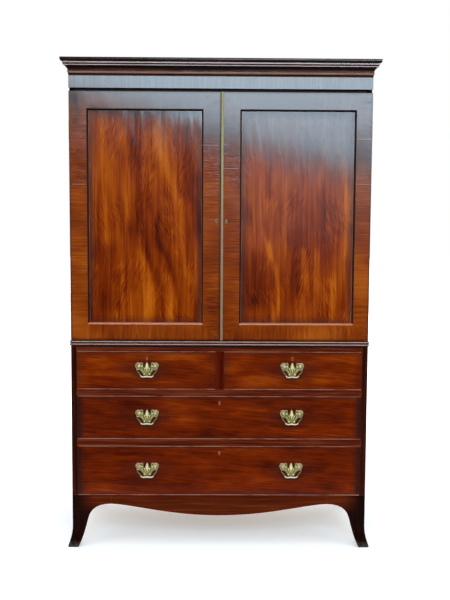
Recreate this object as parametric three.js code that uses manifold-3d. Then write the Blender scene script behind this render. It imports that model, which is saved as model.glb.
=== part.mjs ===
// A linen press: a cupboard of sliding trays that stands on a chest of drawers.
// Sizes are in millimetres. Z is up, the front faces -Y and its plane is y = 0.

import * as THREE from 'three';
import { mergeVertices } from 'three/addons/utils/BufferGeometryUtils.js';
import Module from 'manifold-3d';

// Overall sizes
const caseWidth = 1220;
const caseDepth = 560;

// Stages of the front, from the floor up
const footHeight = 218;
const bottomRowHeight = 210;
const lowerRailHeight = 28;
const middleRowHeight = 182;
const upperRailHeight = 26;
const topRowHeight = 160;
const lowerTopThickness = 22;
const waistHeight = 21;
const doorFootGap = 2;
const doorHeight = 1003;
const doorHeadGap = 12.5;
const friezeHeight = 50.5;
const corniceHeight = 65;

// Case boards
const lowerSideThickness = 22;
const upperSideThickness = 20;
const shelfThickness = 20;
const backThickness = 12;
const backRabbet = 10;
const housingDepth = 6;
const housingStop = 25;
const railDepth = 60;
const dustBoardThickness = 10;
const dividerWidth = 31;
const guideHeight = 26;

// Framed back of the cupboard
const backStileWidth = 90;
const backRailWidth = 90;
const backPanelRecess = 4;
const backBoardCount = 3;
const backGrooveWidth = 3;
const backGrooveDepth = 2;

// Feet and apron
const footThickness = 22;
const frontWingLength = 162;
const sideWingLength = 150;
const rearWingLength = 110;
const archHeight = 181;
const ankleHeight = 98;
const ankleWidth = 58.5;
const toeWidth = 24;
const toeFlare = 16.5;
const toeLip = 8;
const toeRound = 3;
const flareHeight = 88;
const flareEaseShare = 1.9;
const toeCurveShares = [0.4, 0.18];
const archFirstShares = [0.11, 0.58];
const archSecondShares = [0.27, 1];
const apronDrop = 49;
const sideDrop = 22;
const apronEaseShare = 0.72;
const blockInset = 10;
const blockWidth = 40;
const blockFoot = 70;

// Waist moulding: two reeds
const waistSeat = 6;
const waistProjection = 4.5;
const waistQuirk = 0.8;

// Frieze and cornice
const friezeThickness = 30;
const friezeBlockWidth = 45;
const corniceThickness = 20;
const corniceProjection = 29.5;

// Cornice profile: how far out, as shares of the projection, and how high, as shares of the height
const crownShares = [[1, 1], [1, 0.955], [0.81, 0.76]];
const filletShares = [
  [0.72, 0.76], [0.72, 0.68], [0.56, 0.625], [0.64, 0.625], [0.64, 0.545],
];
const coveShares = [[0.6, 0.545], [0.08, 0.25]];
const beadShares = [[0.07, 0.24], [0.07, 0.13]];
const beadOutShare = 0.15;
const footShares = [[0.07, 0.13], [0, 0]];

// Doors
const doorThickness = 22;
const doorBackGap = 1.5;
const meetingGap = 1.5;
const doorEase = 0.9;
const outerStileLeft = 71;
const innerStileLeft = 70;
const innerStileRight = 78;
const outerStileRight = 64;
const doorTopRail = 69;
const doorBottomRail = 65;
const ovoloWidth = 6.5;
const ovoloQuirk = 0.7;
const ovoloDepth = 6.5;
const panelDepth = 8.5;
const panelThickness = 7;
const panelTongue = 9;
const panelPlay = 1.5;
const astragalWidth = 11;
const astragalRise = 3.2;

// Hinges
const hingeHeight = 76;
const hingeInset = 150;
const leafThickness = 2;
const leafWidth = 15;
const knuckleRadius = 3.6;
const pinOffset = 0.8;
const pinRadius = 1.5;
const pinBore = 1.8;
const knuckleGap = 0.3;
const knuckleCount = 5;
const knuckleRoom = 0.45;

// Door lock and its bolt
const keyholeLift = 491;
const keyholeRight = 24;
const keyholeLeft = -16;
const keyholeRadius = 2.4;
const keyholeSlotWidth = 2.6;
const keyholeSlotDrop = 8;
const dummyKeyholeDepth = 7;
const lockWidth = 44;
const lockHeight = 62;
const lockDepth = 12;
const boltLength = 30;
const boltHeight = 22;
const boltThickness = 6;
const boltInset = 0.5;
const boltThrow = 8;

// Drawers
const drawerPlay = 0.8;
const sidePlay = 1.5;
const runGap = 0.3;
const drawerFrontThickness = 20;
const cockBeadWidth = 3;
const cockBeadRise = 1.6;
const cockBeadSeat = 2;
const drawerSideThickness = 10;
const drawerBackThickness = 9;
const drawerBottomThickness = 7;
const drawerBottomLift = 7;
const drawerBottomHousing = 6;
const drawerBackRoom = 26;
const drawerSideDrop = 3;
const drawerBackDrop = 12;
const tailDepth = 12;
const tailPitch = 45;
const tailRootWidth = 22;
const tailSpread = 2.5;
const keyholeDrop = 27;

// Handles
const handleSpread = 299;
const handleLift = 5;
const plateHalfWidth = 49;
const plateHalfHeight = 28.5;
const plateThickness = 1.4;
const postSpacing = 66;
const postLift = 10;
const postReach = 10.5;
const postHeadRadius = 5;
const postNeckRadius = 3.2;
const rosetteRadius = 7;
const rosetteRise = 1.4;
const shankRadius = 2.2;
const shankHole = 2.6;
const nutRadius = 6;
const nutThickness = 4;
const bailPinRadius = 1.4;
const bailPinHole = 1.75;
const bailPinLength = 3.4;
const bailArmRadius = 2;
const bailGripRadius = 3.1;
const bailDrop = 41;
const bailOverhang = 9;
const pierceRadius = 2.6;

// Right half of a plate, from the tip down: shares of its half width and half height
const plateShares = [
  [0.025, 1], [0.1, 0.82], [0.16, 0.52], [0.22, 0.27], [0.255, 0.18], [0.285, 0.28],
  [0.315, 0.56], [0.325, 0.86], [0.37, 0.97], [0.46, 1], [0.57, 0.94], [0.67, 0.94],
  [0.78, 0.98], [0.9, 0.89], [1, 0.62], [0.96, 0.32], [0.88, 0.08], [0.86, -0.06],
  [0.74, -0.12], [0.6, -0.14], [0.49, -0.28], [0.42, -0.48], [0.34, -0.64], [0.33, -0.78],
  [0.28, -0.91], [0.17, -0.93], [0.09, -0.88], [0.03, -1],
];
const pierceShare = [0.46, 0.66];

// Right half of a bail, from its pin to the middle of the grip: shares of its reach and drop
const bailReach = postSpacing / 2 + bailOverhang;
const bailShares = [
  [0.93, 0], [1, -0.08], [1, -0.26], [0.9, -0.46], [0.75, -0.64],
  [0.64, -0.8], [0.56, -0.95], [0.42, -1], [0.2, -0.985], [0, -0.97],
];

// Trays
const trayCount = 4;
const firstTrayLift = 31;
const trayPitch = 230;
const trayTravel = 20;
const trayStopGap = 4;
const trayBackGap = 4;
const traySideThickness = 12;
const trayBottomThickness = 8;
const trayHeight = 88;
const trayDip = 34;
const trayDipRun = 90;
const trayHornLength = 70;
const trayPlay = 1;
const trayGrooveDepth = 8;
const trayTongue = 7;
const trayGrooveGap = 0.5;

// Room left where one piece is cut to another
const fitGap = 0.3;

// Fineness of round forms, and how far a cut runs past a face
const roundSides = 12;
const fineSides = 16;
const postSides = 8;
const wireSides = 8;
const mouldingSteps = 6;
const beadSteps = 4;
const archSteps = 28;
const footSteps = 8;
const flareSteps = 6;
const bailSteps = 18;
const headSteps = 4;
const overrun = 5;

// Finishes
const darkMahogany = { color: 0x4a2416, roughness: 0.32, metalness: 0 };
const redMahogany = { color: 0x6b2a12, roughness: 0.3, metalness: 0 };
const goldenMahogany = { color: 0x8a4a1e, roughness: 0.28, metalness: 0 };
const oak = { color: 0x9a7448, roughness: 0.75, metalness: 0 };
const pine = { color: 0xa98456, roughness: 0.8, metalness: 0 };
const brass = { color: 0xa8925a, roughness: 0.35, metalness: 1 };

// Levels and places that follow from the sizes
const lowerRailFoot = footHeight + bottomRowHeight;
const middleRowFoot = lowerRailFoot + lowerRailHeight;
const upperRailFoot = middleRowFoot + middleRowHeight;
const topRowFoot = upperRailFoot + upperRailHeight;
const lowerTopFoot = topRowFoot + topRowHeight;
const waistFoot = lowerTopFoot + lowerTopThickness;
const waistTop = waistFoot + waistHeight;
const doorFoot = waistTop + doorFootGap;
const doorTop = doorFoot + doorHeight;
const friezeFoot = doorTop + doorHeadGap;
const corniceFoot = friezeFoot + friezeHeight;
const halfWidth = caseWidth / 2;
const lowerInner = halfWidth - lowerSideThickness;
const upperInner = halfWidth - upperSideThickness;
const caseFront = doorThickness + doorBackGap;
const backFace = caseDepth - backThickness;
const pinDepth = doorThickness + doorBackGap / 2;
const hingeLevels = [doorFoot + hingeInset, doorTop - hingeInset];
const keyholeHeight = doorFoot + keyholeLift;
const trayFront = doorThickness + trayStopGap + trayTravel;
const firstTrayHeight = waistFoot + shelfThickness + firstTrayLift;
const trayLength = backFace - trayBackGap - trayFront;
const drawerLength = backFace - drawerBackRoom;

// Solids

const wasm = await Module();
wasm.setup();

function enclosedVolume(points, faces) {
  let sum = 0;
  const corner = [new THREE.Vector3(), new THREE.Vector3(), new THREE.Vector3()];
  for (let i = 0; i < faces.length; i += 3) {
    corner.forEach((place, k) => place.fromArray(points, faces[i + k] * 3));
    sum += corner[0].dot(corner[1].clone().cross(corner[2]));
  }
  return sum;
}

// A closed geometry as a solid: shared corners are merged, slivers dropped and faces turned outwards.
function solid(geometry) {
  const bare = new THREE.BufferGeometry();
  bare.setAttribute('position', geometry.attributes.position);
  bare.setIndex(geometry.index);
  const merged = mergeVertices(bare);
  const points = Float32Array.from(merged.attributes.position.array);
  const faces = [];
  const index = merged.index.array;
  for (let i = 0; i < index.length; i += 3) {
    const [a, b, c] = [index[i], index[i + 1], index[i + 2]];
    if (a !== b && b !== c && c !== a) faces.push(a, b, c);
  }
  if (enclosedVolume(points, faces) < 0) faces.reverse();
  return new wasm.Manifold(new wasm.Mesh({
    numProp: 3,
    vertProperties: points,
    triVerts: Uint32Array.from(faces),
  }));
}

function span(a, b) {
  return [Math.min(a, b), Math.max(a, b)];
}

// A board with square edges. Each of x, y and z is a pair: from, to.
function board(x, y, z) {
  const geometry = new THREE.BoxGeometry(1, 1, 1);
  const at = geometry.attributes.position;
  for (let i = 0; i < at.count; i++) {
    at.setXYZ(i, x[at.getX(i) > 0 ? 1 : 0], y[at.getY(i) > 0 ? 1 : 0], z[at.getZ(i) > 0 ? 1 : 0]);
  }
  return solid(geometry);
}

// An outline carried straight along one axis. It is drawn as (y, z), (x, z) or (x, y).
function prism(outline, axis, [from, to]) {
  const shape = new THREE.Shape(outline.map(([a, b]) => new THREE.Vector2(a, b)));
  const geometry = new THREE.ExtrudeGeometry(shape, { depth: 1, bevelEnabled: false });
  const at = geometry.attributes.position;
  for (let i = 0; i < at.count; i++) {
    const a = at.getX(i);
    const b = at.getY(i);
    const c = at.getZ(i) > 0 ? to : from;
    if (axis === 'x') at.setXYZ(i, c, a, b);
    if (axis === 'y') at.setXYZ(i, a, c, b);
    if (axis === 'z') at.setXYZ(i, a, b, c);
  }
  return solid(geometry);
}

function circle([a, b], radius, sides) {
  const points = [];
  for (let i = 0; i < sides; i++) {
    const angle = ((i + 0.5) / sides) * Math.PI * 2;
    points.push([a + radius * Math.cos(angle), b + radius * Math.sin(angle)]);
  }
  return points;
}

// Triangles that fill a flat ring of points, in the ring's own order
function capFaces(ring) {
  const corners = ring.map((point) => new THREE.Vector3(...point));
  const normal = new THREE.Vector3();
  corners.forEach((here, i) => {
    const next = corners[(i + 1) % corners.length];
    normal.add(here.clone().cross(next));
  });
  const size = normal.toArray().map(Math.abs);
  const drop = size.indexOf(Math.max(...size));
  const flat = ring.map((point) => new THREE.Vector2(...point.filter((_, k) => k !== drop)));
  const faces = THREE.ShapeUtils.triangulateShape(flat, []);
  return THREE.ShapeUtils.area(flat) > 0 ? faces : faces.map(([a, b, c]) => [c, b, a]);
}

// A skin through rings of equal count. A closed loft joins its last ring to its first.
function loft(rings, closed = false) {
  const count = rings[0].length;
  const faces = [];
  const bands = closed ? rings.length : rings.length - 1;
  for (let r = 0; r < bands; r++) {
    const here = r * count;
    const next = ((r + 1) % rings.length) * count;
    for (let i = 0; i < count; i++) {
      const j = (i + 1) % count;
      faces.push(here + i, here + j, next + j, here + i, next + j, next + i);
    }
  }
  if (!closed) {
    const last = (rings.length - 1) * count;
    capFaces(rings[0]).forEach(([a, b, c]) => faces.push(c, b, a));
    capFaces(rings.at(-1)).forEach(([a, b, c]) => faces.push(last + a, last + b, last + c));
  }
  const geometry = new THREE.BufferGeometry();
  geometry.setAttribute('position', new THREE.Float32BufferAttribute(rings.flat(2), 3));
  geometry.setIndex(faces);
  return solid(geometry);
}

// A moulding run round the front and sides of the case: profile points are (out, up).
function moulding(profile, foot) {
  const stops = [
    [-halfWidth, caseDepth, -1, 0],
    [-halfWidth, 0, -1, -1],
    [halfWidth, 0, 1, -1],
    [halfWidth, caseDepth, 1, 0],
  ];
  return loft(stops.map(([x, y, leanX, leanY]) => (
    profile.map(([out, up]) => [x + leanX * out, y + leanY * out, foot + up])
  )));
}

// A mitred frame in the plane of the front: profile points are (inward, depth).
function frontFrame(profile, x, z) {
  const stops = [
    [x[0], z[0], 1, 1],
    [x[1], z[0], -1, 1],
    [x[1], z[1], -1, -1],
    [x[0], z[1], 1, -1],
  ];
  return loft(stops.map(([a, b, leanA, leanB]) => (
    profile.map(([inward, depth]) => [a + leanA * inward, depth, b + leanB * inward])
  )), true);
}

// A board whose front arrises are eased: rectangles stacked back from the front face.
function easedBoard(x, y, z, ease) {
  const rectangle = (inset, depth) => [
    [x[0] + inset, depth, z[0] + inset],
    [x[1] - inset, depth, z[0] + inset],
    [x[1] - inset, depth, z[1] - inset],
    [x[0] + inset, depth, z[1] - inset],
  ];
  return loft([rectangle(ease, y[0]), rectangle(0, y[0] + ease), rectangle(0, y[1])]);
}

// Half of an oval that stands out from a straight line, as (out, along) points
function beadLine(base, crest, from, to) {
  const points = [];
  for (let i = 1; i < beadSteps; i++) {
    const turn = (i / beadSteps) * Math.PI;
    const along = (from + to) / 2 - ((to - from) / 2) * Math.cos(turn);
    points.push([base + (crest - base) * Math.sin(turn), along]);
  }
  return points;
}

// A quarter of an oval between two points of a profile: round like an egg, or hollow like a cove
function quarterLine([from, to], hollow) {
  const points = [];
  for (let i = 0; i <= mouldingSteps; i++) {
    const turn = (i / mouldingSteps) * (Math.PI / 2);
    const slow = 1 - Math.cos(turn);
    const [outward, upward] = hollow ? [Math.sin(turn), slow] : [slow, Math.sin(turn)];
    points.push([from[0] + (to[0] - from[0]) * outward, from[1] + (to[1] - from[1]) * upward]);
  }
  return points;
}

// The ogee line between two feet: level at the feet, dropping to a broad point in the middle
function archLine(from, to, drop) {
  const points = [];
  for (let i = 0; i <= archSteps; i++) {
    const along = i / archSteps;
    const inward = (1 - Math.abs(2 * along - 1)) ** apronEaseShare;
    const fall = (drop * (1 - Math.cos(Math.PI * inward))) / 2;
    points.push([from + (to - from) * along, archHeight - fall]);
  }
  return points;
}

// The model

const press = new THREE.Group();

function add(name, shape, finish) {
  const { vertProperties, triVerts } = shape.getMesh();
  const geometry = new THREE.BufferGeometry();
  geometry.setAttribute('position', new THREE.BufferAttribute(Float32Array.from(vertProperties), 3));
  geometry.setIndex(new THREE.BufferAttribute(Uint32Array.from(triVerts), 1));
  geometry.computeVertexNormals();
  const mesh = new THREE.Mesh(geometry, new THREE.MeshStandardMaterial(finish));
  mesh.name = name;
  press.add(mesh);
}

const hands = [['left', -1], ['right', 1]];

// Feet: brackets that splay outwards at the toe, cut from two boards mitred at the corner

function splay(height) {
  if (height >= flareHeight) return 0;
  if (height < toeRound) return toeFlare - toeRound + height;
  const rise = Math.max(height, toeLip);
  return toeFlare * ((flareHeight - rise) / (flareHeight - toeLip)) ** flareEaseShare;
}

const splayLevels = [0, toeRound, toeLip];
for (let i = 1; i <= flareSteps; i++) {
  splayLevels.push(toeLip + ((flareHeight - toeLip) * i) / flareSteps);
}
splayLevels.push(footHeight);

// A bracket's face, as (inward from the corner, up)
function bracketOutline(wing) {
  const toe = new THREE.QuadraticBezierCurve(
    new THREE.Vector2(toeWidth, 0),
    new THREE.Vector2(
      toeWidth + (ankleWidth - toeWidth) * toeCurveShares[0],
      ankleHeight * toeCurveShares[1],
    ),
    new THREE.Vector2(ankleWidth, ankleHeight),
  );
  const bend = (shares) => new THREE.Vector2(
    ankleWidth + (wing - ankleWidth) * shares[0],
    ankleHeight + (archHeight - ankleHeight) * shares[1],
  );
  const arch = new THREE.CubicBezierCurve(
    new THREE.Vector2(ankleWidth, ankleHeight),
    bend(archFirstShares),
    bend(archSecondShares),
    new THREE.Vector2(wing, archHeight),
  );
  const curve = [...toe.getPoints(footSteps), ...arch.getPoints(footSteps).slice(1)];
  const outside = -toeFlare - overrun;
  return [[outside, 0], ...curve.map((p) => [p.x, p.y]), [wing, footHeight], [outside, footHeight]];
}

function foot(hand, rear) {
  const inset = (distance) => hand * (halfWidth - distance);
  const back = (distance) => (rear ? caseDepth - distance : distance);
  const wing = rear ? rearWingLength : frontWingLength;
  const rings = splayLevels.map((height) => {
    const out = splay(height);
    const face = rear ? caseDepth : -out;
    return [
      [inset(-out), face, height],
      [inset(wing), face, height],
      [inset(wing), back(footThickness), height],
      [inset(footThickness), back(footThickness), height],
      [inset(footThickness), back(sideWingLength), height],
      [inset(-out), back(sideWingLength), height],
    ];
  });
  const frontFace = bracketOutline(wing).map(([inward, up]) => [inset(inward), up]);
  const sideFace = bracketOutline(sideWingLength).map(([inward, up]) => [back(inward), up]);
  const frontDepth = span(back(-toeFlare - overrun), back(footThickness));
  const sideDepth = span(inset(-toeFlare - overrun), inset(footThickness));
  const faces = prism(frontFace, 'y', frontDepth).add(prism(sideFace, 'x', sideDepth));
  const glueBlock = board(
    span(inset(blockInset), inset(blockInset + blockWidth)),
    span(back(blockInset), back(blockInset + blockWidth)),
    [blockFoot, footHeight - shelfThickness],
  );
  return loft(rings).intersect(faces).add(glueBlock);
}

const lowerBottom = board(
  [-lowerInner, lowerInner],
  [footThickness, caseDepth],
  [footHeight - shelfThickness, footHeight],
);

for (const [name, hand] of hands) {
  add(`front_foot_${name}`, foot(hand, false), darkMahogany);
  add(`rear_foot_${name}`, foot(hand, true).subtract(lowerBottom), darkMahogany);
}

const apronEnd = halfWidth - frontWingLength;
const apronOutline = [
  [apronEnd, footHeight],
  [-apronEnd, footHeight],
  ...archLine(-apronEnd, apronEnd, apronDrop),
];
add('apron', prism(apronOutline, 'y', [0, footThickness]), redMahogany);
add('lower_bottom_board', lowerBottom, pine);

// Lower case

// A board between the case sides, with a tongue at each end that is stopped short of the front
function housedBoard(inner, y, z) {
  const tongue = inner + housingDepth;
  const tongues = board([-tongue, tongue], [y[0] + housingStop, y[1]], z);
  return board([-inner, inner], y, z).add(tongues);
}

// A drawer rail with the dust board behind it, level with the rail's top
function drawerRail(railFoot, height) {
  const top = railFoot + height;
  const rail = housedBoard(lowerInner, [0, railDepth], [railFoot, top]);
  return rail.add(housedBoard(lowerInner, [0, backFace], [top - dustBoardThickness, top]));
}

const lowerTop = housedBoard(lowerInner, [0, backFace], [lowerTopFoot, waistFoot]);
const lowerRail = drawerRail(lowerRailFoot, lowerRailHeight);
const upperRail = drawerRail(upperRailFoot, upperRailHeight);
add('lower_top_board', lowerTop, redMahogany);
add('drawer_rail_lower', lowerRail, redMahogany);
add('drawer_rail_upper', upperRail, redMahogany);

const dividerSpan = [-dividerWidth / 2, dividerWidth / 2];
const drawerGuide = board(dividerSpan, [0, backFace], [topRowFoot, topRowFoot + guideHeight]);
const divider = board(dividerSpan, [0, railDepth], [topRowFoot, lowerTopFoot]).add(drawerGuide);
add('short_drawer_divider', divider, redMahogany);

const lowerBackSpan = [-lowerInner - backRabbet, lowerInner + backRabbet];
const lowerBack = board(lowerBackSpan, [backFace, caseDepth], [footHeight, waistFoot]);
const backBoardHeight = (waistFoot - footHeight) / backBoardCount;
let groovedBack = lowerBack;
for (let i = 1; i < backBoardCount; i++) {
  const joint = footHeight + backBoardHeight * i;
  groovedBack = groovedBack.subtract(board(
    [lowerBackSpan[0] - overrun, lowerBackSpan[1] + overrun],
    [caseDepth - backGrooveDepth, caseDepth + overrun],
    [joint - backGrooveWidth / 2, joint + backGrooveWidth / 2],
  ));
}
add('lower_back', groovedBack, pine);

function lowerSide(hand) {
  const outline = [
    [0, footHeight],
    [0, waistFoot],
    [caseDepth, waistFoot],
    [caseDepth, footHeight],
    [caseDepth - sideWingLength, footHeight],
    ...archLine(caseDepth - sideWingLength, sideWingLength, sideDrop),
    [sideWingLength, footHeight],
  ];
  const whole = prism(outline, 'x', span(hand * halfWidth, hand * lowerInner));
  return whole.subtract(lowerBack).subtract(lowerTop).subtract(lowerRail).subtract(upperRail);
}

// Waist moulding: it stands on the lower case and holds the cupboard's foot
const reed = waistHeight / 2;
const waistProfile = [
  [-waistSeat, 0],
  [waistQuirk, 0],
  ...beadLine(waistQuirk, waistProjection, 0, reed),
  [waistQuirk, reed],
  ...beadLine(waistQuirk, waistProjection, reed, waistHeight),
  [waistQuirk, waistHeight],
  [-waistSeat, waistHeight],
];
add('waist_moulding', moulding(waistProfile, waistFoot), darkMahogany);

// Hinges: the fixed leaf carries the pin and every other knuckle, the door's leaf the rest

function hinge(hand, level) {
  const pin = hand * (halfWidth + pinOffset);
  const near = pin - hand * (knuckleRadius + knuckleGap);
  const far = near - hand * leafWidth;
  const height = [level - hingeHeight / 2, level + hingeHeight / 2];
  const pitch = hingeHeight / knuckleCount;
  const caseLeaf = [caseFront, caseFront + leafThickness];
  const doorLeaf = [doorThickness - leafThickness, doorThickness];
  const rod = (radius, sides, z) => prism(circle([pin, pinDepth], radius, sides), 'z', z);
  const leaf = (depth, first) => {
    let shape = board(span(near, far), depth, height);
    for (let i = first; i < knuckleCount; i += 2) {
      const z = [height[0] + pitch * i + knuckleGap / 2, height[0] + pitch * (i + 1) - knuckleGap / 2];
      shape = shape.add(rod(knuckleRadius, roundSides, z)).add(board(span(pin, far), depth, z));
    }
    return shape;
  };
  const room = rod(
    knuckleRadius + knuckleRoom,
    roundSides,
    [height[0] - knuckleRoom, height[1] + knuckleRoom],
  );
  const bore = rod(pinBore, fineSides, [height[0] - overrun, height[1] + overrun]);
  return {
    fixed: leaf(caseLeaf, 0).add(rod(pinRadius, wireSides, height)),
    moving: leaf(doorLeaf, 1).subtract(bore),
    casePocket: board(span(pin, far), caseLeaf, height).add(room),
    doorPocket: board(span(pin, far), doorLeaf, height).add(room),
  };
}

const hinges = { left: [], right: [] };
for (const [name, hand] of hands) {
  for (const level of hingeLevels) hinges[name].push(hinge(hand, level));
}
const hingeNames = ['lower', 'upper'];

// Upper case

const upperTop = housedBoard(upperInner, [caseFront, backFace], [friezeFoot - shelfThickness, friezeFoot]);
const floorSpan = halfWidth - waistSeat - fitGap;
const floorHeight = [waistFoot, waistFoot + shelfThickness];
const floorLip = board([-floorSpan, floorSpan], [waistSeat + fitGap, caseFront], floorHeight);
const upperFloor = housedBoard(upperInner, [caseFront, backFace], floorHeight).add(floorLip);
add('upper_top_board', upperTop, pine);
add('upper_bottom_board', upperFloor, pine);

const upperBackHalf = upperInner + backRabbet;
const upperBack = board([-upperBackHalf, upperBackHalf], [backFace, caseDepth], [waistFoot, friezeFoot]);
const backMiddle = (waistFoot + friezeFoot) / 2;
const fieldWidths = [backStileWidth / 2, upperBackHalf - backStileWidth];
const fieldHeights = [
  [waistFoot + backRailWidth, backMiddle - backRailWidth / 2],
  [backMiddle + backRailWidth / 2, friezeFoot - backRailWidth],
];
let framedBack = upperBack;
for (const [, hand] of hands) {
  for (const height of fieldHeights) {
    framedBack = framedBack.subtract(board(
      span(hand * fieldWidths[0], hand * fieldWidths[1]),
      [caseDepth - backPanelRecess, caseDepth + overrun],
      height,
    ));
  }
}
add('upper_back', framedBack, pine);

const trayLevels = [];
for (let i = 0; i < trayCount; i++) trayLevels.push(firstTrayHeight + trayPitch * i);

function upperSide(name, hand) {
  const thickness = span(hand * halfWidth, hand * upperInner);
  let shape = board(thickness, [caseFront, caseDepth], [waistFoot, friezeFoot]);
  shape = shape.subtract(board(
    span(hand * floorSpan, hand * (halfWidth + overrun)),
    [caseFront - overrun, caseDepth + overrun],
    [waistFoot - overrun, waistTop + fitGap],
  ));
  shape = shape.subtract(upperBack).subtract(upperTop).subtract(upperFloor);
  for (const level of trayLevels) {
    shape = shape.subtract(board(
      span(hand * (upperInner - overrun), hand * (upperInner + trayGrooveDepth)),
      [caseFront - overrun, trayFront + trayLength + trayGrooveGap],
      [level - trayGrooveGap, level + trayBottomThickness + trayGrooveGap],
    ));
  }
  for (const { casePocket } of hinges[name]) shape = shape.subtract(casePocket);
  return shape;
}

for (const [name, hand] of hands) {
  add(`lower_side_${name}`, lowerSide(hand), darkMahogany);
  add(`upper_side_${name}`, upperSide(name, hand), darkMahogany);
  hinges[name].forEach(({ fixed }, i) => add(`hinge_case_leaf_${name}_${hingeNames[i]}`, fixed, brass));
}

// Frieze and cornice: a frame that lifts off, open on top, with a block glued in each corner

const friezeInner = halfWidth - friezeThickness;
const friezeZ = [friezeFoot, corniceFoot];
let frieze = board([-halfWidth, halfWidth], [0, caseDepth], friezeZ).subtract(board(
  [-friezeInner, friezeInner],
  [friezeThickness, caseDepth - friezeThickness],
  [friezeFoot - overrun, corniceFoot + overrun],
));
for (const [, hand] of hands) {
  for (const [corner, step] of [[friezeThickness, 1], [caseDepth - friezeThickness, -1]]) {
    const inside = hand * (friezeInner + blockInset);
    const along = hand * (friezeInner - friezeBlockWidth);
    const outline = [
      [inside, corner - step * blockInset],
      [along, corner - step * blockInset],
      [along, corner],
      [hand * friezeInner, corner + step * friezeBlockWidth],
      [inside, corner + step * friezeBlockWidth],
    ];
    frieze = frieze.add(prism(outline, 'z', friezeZ));
  }
}
add('frieze_frame', frieze, darkMahogany);

const corniceShares = [
  ...crownShares.slice(0, 1),
  ...quarterLine(crownShares.slice(1), false),
  ...filletShares,
  ...quarterLine(coveShares, true),
  ...beadShares.slice(0, 1),
  ...beadLine(beadShares[0][0], beadOutShare, beadShares[0][1], beadShares[1][1]),
  ...footShares,
];
const corniceProfile = [
  [-corniceThickness, corniceHeight],
  ...corniceShares.map(([out, up]) => [out * corniceProjection, up * corniceHeight]),
  [-corniceThickness, 0],
];
add('cornice_moulding', moulding(corniceProfile, corniceFoot), darkMahogany);

// Doors

function keyhole(x, z, depth) {
  const round = prism(circle([x, z], keyholeRadius, roundSides), 'y', depth);
  const slot = [x - keyholeSlotWidth / 2, x + keyholeSlotWidth / 2];
  return round.add(board(slot, depth, [z - keyholeSlotDrop, z]));
}

function widened([from, to], by) {
  return [from - by, to + by];
}

const panelHeight = [doorFoot + doorBottomRail, doorTop - doorTopRail];
const lockMiddle = doorThickness - lockDepth / 2;
const lockBody = board(
  [meetingGap / 2, meetingGap / 2 + lockWidth],
  [doorThickness - lockDepth, doorThickness],
  widened([keyholeHeight, keyholeHeight], lockHeight / 2),
);
const boltEnd = meetingGap / 2 + boltInset;
const boltDepth = widened([lockMiddle, lockMiddle], boltThickness / 2);
const boltLevel = widened([keyholeHeight, keyholeHeight], boltHeight / 2);
const bolt = board([boltEnd, boltEnd + boltLength], boltDepth, boltLevel);
const boltRoom = board(
  [-meetingGap / 2 - boltThrow - fitGap, boltEnd + boltLength + fitGap],
  widened(boltDepth, fitGap),
  widened(boltLevel, fitGap),
);
const ovolo = quarterLine([[ovoloWidth, ovoloDepth], [0, ovoloQuirk]], false).reverse();

// The opening for a door's panel, with the ovolo moulding that runs round its front arris
function panelOpening(x, z) {
  const rectangle = (inward, depth) => {
    const [x0, x1] = widened(x, -inward);
    const [z0, z1] = widened(z, -inward);
    return [[x0, depth, z0], [x1, depth, z0], [x1, depth, z1], [x0, depth, z1]];
  };
  return loft([
    rectangle(0, -overrun),
    ...ovolo.map(([inward, depth]) => rectangle(inward, depth)),
    rectangle(ovoloWidth, doorThickness + overrun),
  ]);
}

function door(name, x, opening) {
  const sight = widened(opening, -ovoloWidth);
  const sightHeight = widened(panelHeight, -ovoloWidth);
  const panelFaces = [panelDepth, panelDepth + panelThickness];
  let frame = easedBoard(x, [0, doorThickness], [doorFoot, doorTop], doorEase);
  frame = frame.subtract(panelOpening(opening, panelHeight));
  frame = frame.subtract(board(widened(sight, panelTongue), panelFaces, widened(sightHeight, panelTongue)));
  for (const { doorPocket } of hinges[name]) frame = frame.subtract(doorPocket);
  const reach = panelTongue - panelPlay;
  const panel = board(widened(sight, reach), panelFaces, widened(sightHeight, reach));
  add(`door_${name}_panel`, panel, goldenMahogany);
  hinges[name].forEach(({ moving }, i) => add(`hinge_door_leaf_${name}_${hingeNames[i]}`, moving, brass));
  return frame;
}

const leftFrame = door(
  'left',
  [-halfWidth, -meetingGap / 2],
  [-halfWidth + outerStileLeft, -innerStileLeft],
);
const dummyKeyhole = keyhole(keyholeLeft, keyholeHeight, [-overrun, dummyKeyholeDepth]);
add('door_left_frame', leftFrame.subtract(dummyKeyhole).subtract(boltRoom), redMahogany);

const rightFrame = door(
  'right',
  [meetingGap / 2, halfWidth],
  [innerStileRight, halfWidth - outerStileRight],
);
const rightKeyhole = keyhole(keyholeRight, keyholeHeight, [-overrun, doorThickness - lockDepth]);
add('door_right_frame', rightFrame.subtract(rightKeyhole).subtract(lockBody), redMahogany);
add('door_lock', lockBody.subtract(boltRoom), brass);
add('door_lock_bolt', bolt, brass);

const astragalEdge = meetingGap / 2 + astragalWidth;
const astragalProfile = [
  [meetingGap / 2, 0],
  ...beadLine(0, -astragalRise, meetingGap / 2, astragalEdge).map(([depth, across]) => [across, depth]),
  [astragalEdge, 0],
];
add('door_astragal', prism(astragalProfile, 'z', [doorFoot, doorTop]), brass);

// Sliding trays: the bottom runs out at each side as a tongue in the case side's groove

function trayFrontOutline(half, level) {
  const top = level + trayHeight;
  const start = half - trayHornLength;
  const slope = [];
  for (let i = 0; i <= mouldingSteps; i++) {
    const along = i / mouldingSteps;
    const fall = (trayDip * (1 - Math.cos(Math.PI * along))) / 2;
    slope.push([start - trayDipRun * along, top - fall]);
  }
  const mirrored = slope.map(([x, z]) => [-x, z]).reverse();
  return [[-half, level], [half, level], [half, top], ...slope, ...mirrored, [-half, top]];
}

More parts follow.
